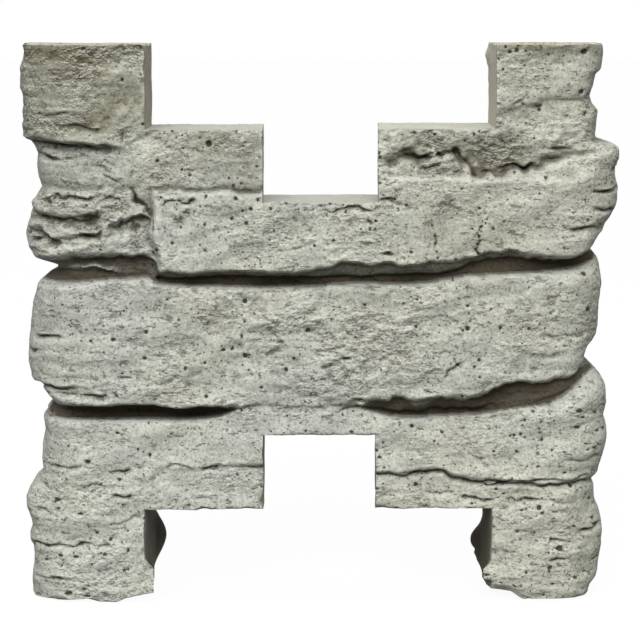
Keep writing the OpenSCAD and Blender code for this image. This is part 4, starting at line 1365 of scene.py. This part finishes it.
def concrete(name, cool, warm, mottling, speckle, holes, grit, nicks):
    """Bare concrete, full of fine holes, with stains, painted shade in crevices, holes, nicks, joints, under
    ledges and in hollows with dirt, and painted highlights on proud places, ledge tops and faces that look
    up.
    """
    material = bpy.data.materials.new(name)
    material.use_nodes = True
    tree = material.node_tree
    shader = tree.nodes["Principled BSDF"]
    shader.inputs["Roughness"].default_value = 0.92
    shader.inputs["Specular IOR Level"].default_value = 0.25
    place = object_place(tree)
    recess_shade, hollow, proud, stain_and_shade, rugged, joint = (
        add_node(tree, "ShaderNodeAttribute", attribute_name=layer).outputs["Fac"]
        for layer in ("recess_shade", "hollow", "proud", "stain_and_shade", "rugged", "joint")
    )
    cement = use_group(tree, colour_group, Cool_Grey=cool, Warm_Grey=warm, Mottling=mottling, Speckle=speckle)
    patches = ramp(tree, noise(tree, place, 28.0, 2.0, 0.5), 0.4, 0.6, 0.15, 1.3)
    ledges = combine(tree, "MULTIPLY", rugged, patches)
    grain = use_group(tree, grain_group, Grit=grit, Nicks=nicks, Ledges=ledges)
    facing = add_node(tree, "ShaderNodeNewGeometry").outputs["True Normal"]
    upward = add_node(tree, "ShaderNodeSeparateXYZ", Vector=facing).outputs["Z"]
    small = use_group(tree, hole_group, Share=holes)
    large = use_group(tree, hole_group, Scale=120.0, Share=holes * 0.4, Size=0.17)
    pinholes = combine(tree, "MAXIMUM", small.outputs["Mask"], large.outputs["Mask"])

    coats = [
        # painted highlight: faces that look up are painted paler
        (ramp(tree, upward, 0.6, 0.95, 0.0, SKY_FACING_HIGHLIGHT_SHARE), SKY_FACING_HIGHLIGHT, "MIX"),
        # stains, and painted shade over recesses, lit shoulders and the horns' tops
        (stain_and_shade, STAIN_AND_SHADE_TONE, "MULTIPLY"),
        # painted shade under the ledges, and painted highlight on their tops
        (combine(tree, "MULTIPLY", grain.outputs["Shaded Underside"], LEDGE_SHADE_SHARE), LEDGE_UNDERSIDE_SHADE, "MULTIPLY"),
        (combine(tree, "MULTIPLY", grain.outputs["Lit Upper Side"], LEDGE_HIGHLIGHT_SHARE), LEDGE_TOP_HIGHLIGHT, "MIX"),
        # painted shade in the nicks
        (combine(tree, "MULTIPLY", grain.outputs["Nick"], NICK_SHADE_SHARE), NICK_SHADE, "MIX"),
        # painted highlight on proud places and on worn arrises
        (combine(tree, "MULTIPLY", proud, RIM_SHARE), PROUD_RIM, "MIX"),
        # painted shade with dirt in the hollows
        (combine(tree, "MULTIPLY", hollow, HOLLOW_SHADE_AND_DIRT_SHARE), HOLLOW_SHADE_AND_DIRT, "MIX"),
        (joint_share(tree, joint), JOINT_SHADE, "MIX"),
        # painted shade in the fine air holes
        (combine(tree, "MULTIPLY", pinholes, HOLE_SHADE_SHARE), AIR_HOLE_SHADE, "MIX"),
        # painted shade in crevices and holes, and on the beads
        (recess_shade_share(tree, place, recess_shade), RECESS_SHADE, "MIX"),
    ]
    colour = cement.outputs["Color"]
    for share, coat, how in coats:
        colour = blend(tree, share, colour, coat, how)
    tree.links.new(colour, shader.inputs["Base Color"])
    pits = combine(tree, "MULTIPLY", pinholes, PINHOLE_DEPTH)
    pitted = combine(tree, "SUBTRACT", grain.outputs["Height"], pits)
    bump = add_node(tree, "ShaderNodeBump", Height=pitted, Distance=MM, Strength=1.0)
    tree.links.new(bump.outputs["Normal"], shader.inputs["Normal"])
    return material


# ---------------------------------------------------------------------------------------------
# Floor, light and camera
# ---------------------------------------------------------------------------------------------

# In metres and watts. The lens, in mm, is long, so that the far edges of the notches show only as
# strips. The floor is grey to the light and nearly white to the eye.
FLOOR_HALF = 12.0
FLOOR_GREY = (0.12, 0.12, 0.12, 1.0)
FLOOR_GLOW = 0.95
WHITE = (1.0, 1.0, 1.0, 1.0)
SKY_LOW = 0.14
SKY_HIGH = 1.0
LAMP_SIZE = (2.4, 1.8)
LAMP_PLACE = (-0.4, -3.4, 2.2)
LAMP_AIM = (0.0, 0.0, 0.2)
LAMP_POWER = 178
EYE_PLACE = (-0.026, -2.137, 0.4435)
EYE_AIM = (0.0, 0.0, 0.1935)
LENS = 172.2


def to_the_eye(tree):
    """One for rays that go straight to the camera, by a mirror or through glass, and 0 for light."""
    rays = add_node(tree, "ShaderNodeLightPath")
    seen = combine(tree, "MAXIMUM", rays.outputs["Is Camera Ray"], rays.outputs["Is Glossy Ray"])
    return combine(tree, "MAXIMUM", seen, rays.outputs["Is Transmission Ray"])


def pale_floor():
    """A plain floor that reads as white, keeps the block's shadow and throws little light back."""
    bm = bmesh.new()
    bmesh.ops.create_grid(bm, x_segments=1, y_segments=1, size=FLOOR_HALF)
    mesh = bpy.data.meshes.new("floor")
    bm.to_mesh(mesh)
    bm.free()
    floor = bpy.data.objects.new("floor", mesh)
    bpy.context.scene.collection.objects.link(floor)
    material = bpy.data.materials.new("pale_floor")
    material.use_nodes = True
    tree = material.node_tree
    shader = tree.nodes["Principled BSDF"]
    shader.inputs["Roughness"].default_value = 1.0
    shader.inputs["Specular IOR Level"].default_value = 0.0
    seen = to_the_eye(tree)
    tree.links.new(blend(tree, seen, FLOOR_GREY, WHITE), shader.inputs["Base Color"])
    glow = add_node(tree, "ShaderNodeEmission", Color=WHITE, Strength=1.0)
    lifted = add_node(tree, "ShaderNodeMixShader")
    tree.links.new(combine(tree, "MULTIPLY", seen, FLOOR_GLOW), lifted.inputs[0])
    tree.links.new(shader.outputs[0], lifted.inputs[1])
    tree.links.new(glow.outputs[0], lifted.inputs[2])
    tree.links.new(lifted.outputs[0], tree.nodes["Material Output"].inputs["Surface"])
    mesh.materials.append(material)


def aim(thing, place, target):
    """Sets a lamp or a camera at a place and turns it to look at a target."""
    thing.location = place
    thing.rotation_euler = (Vector(target) - thing.location).to_track_quat("-Z", "Y").to_euler()
    bpy.context.scene.collection.objects.link(thing)


def studio_light():
    """One wide soft lamp above the front, and a weak sky that is white only to the eye."""
    world = bpy.data.worlds.new("studio")
    bpy.context.scene.world = world
    world.use_nodes = True
    tree = world.node_tree
    background = tree.nodes["Background"]
    direction = add_node(tree, "ShaderNodeTexCoord").outputs["Generated"]
    height = add_node(tree, "ShaderNodeSeparateXYZ", Vector=direction).outputs["Z"]
    sky = ramp(tree, height, 0.0, 0.9, SKY_LOW, SKY_HIGH)
    tree.links.new(combine(tree, "MAXIMUM", sky, to_the_eye(tree)), background.inputs["Strength"])
    background.inputs["Color"].default_value = WHITE
    lamp = bpy.data.lights.new("key", "AREA")
    lamp.shape = "RECTANGLE"
    lamp.size, lamp.size_y = LAMP_SIZE
    lamp.energy = LAMP_POWER
    aim(bpy.data.objects.new("key", lamp), LAMP_PLACE, LAMP_AIM)


def camera():
    """Level with the block's crown, looking slightly down."""
    lens = bpy.data.cameras.new("camera")
    lens.lens = LENS
    lens.sensor_width = 36
    eye = bpy.data.objects.new("camera", lens)
    aim(eye, EYE_PLACE, EYE_AIM)
    bpy.context.scene.camera = eye


# ---------------------------------------------------------------------------------------------
# Putting it together
# ---------------------------------------------------------------------------------------------

block = rock_faced_block()
thin_out(block, TRIANGLE_LIMIT)
colour_group = cement_colour_group()
grain_group = split_grain_group()
hole_group = pinhole_group()
split_face = concrete(
    "rock_face_concrete", srgb(172, 175, 170), srgb(176, 177, 163),
    mottling=1.0, speckle=1.05, holes=0.35, grit=0.6, nicks=1.0,
)
cast_face = concrete(
    "cast_face_concrete", srgb(165, 166, 158), srgb(165, 161, 145),
    mottling=0.8, speckle=0.8, holes=0.2, grit=0.3, nicks=0.25,
)
block.data.materials.append(split_face)
block.data.materials.append(cast_face)
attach(block, "root")
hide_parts("facing_block")

pale_floor()
studio_light()
camera()
bpy.context.scene.view_settings.view_transform = "Standard"
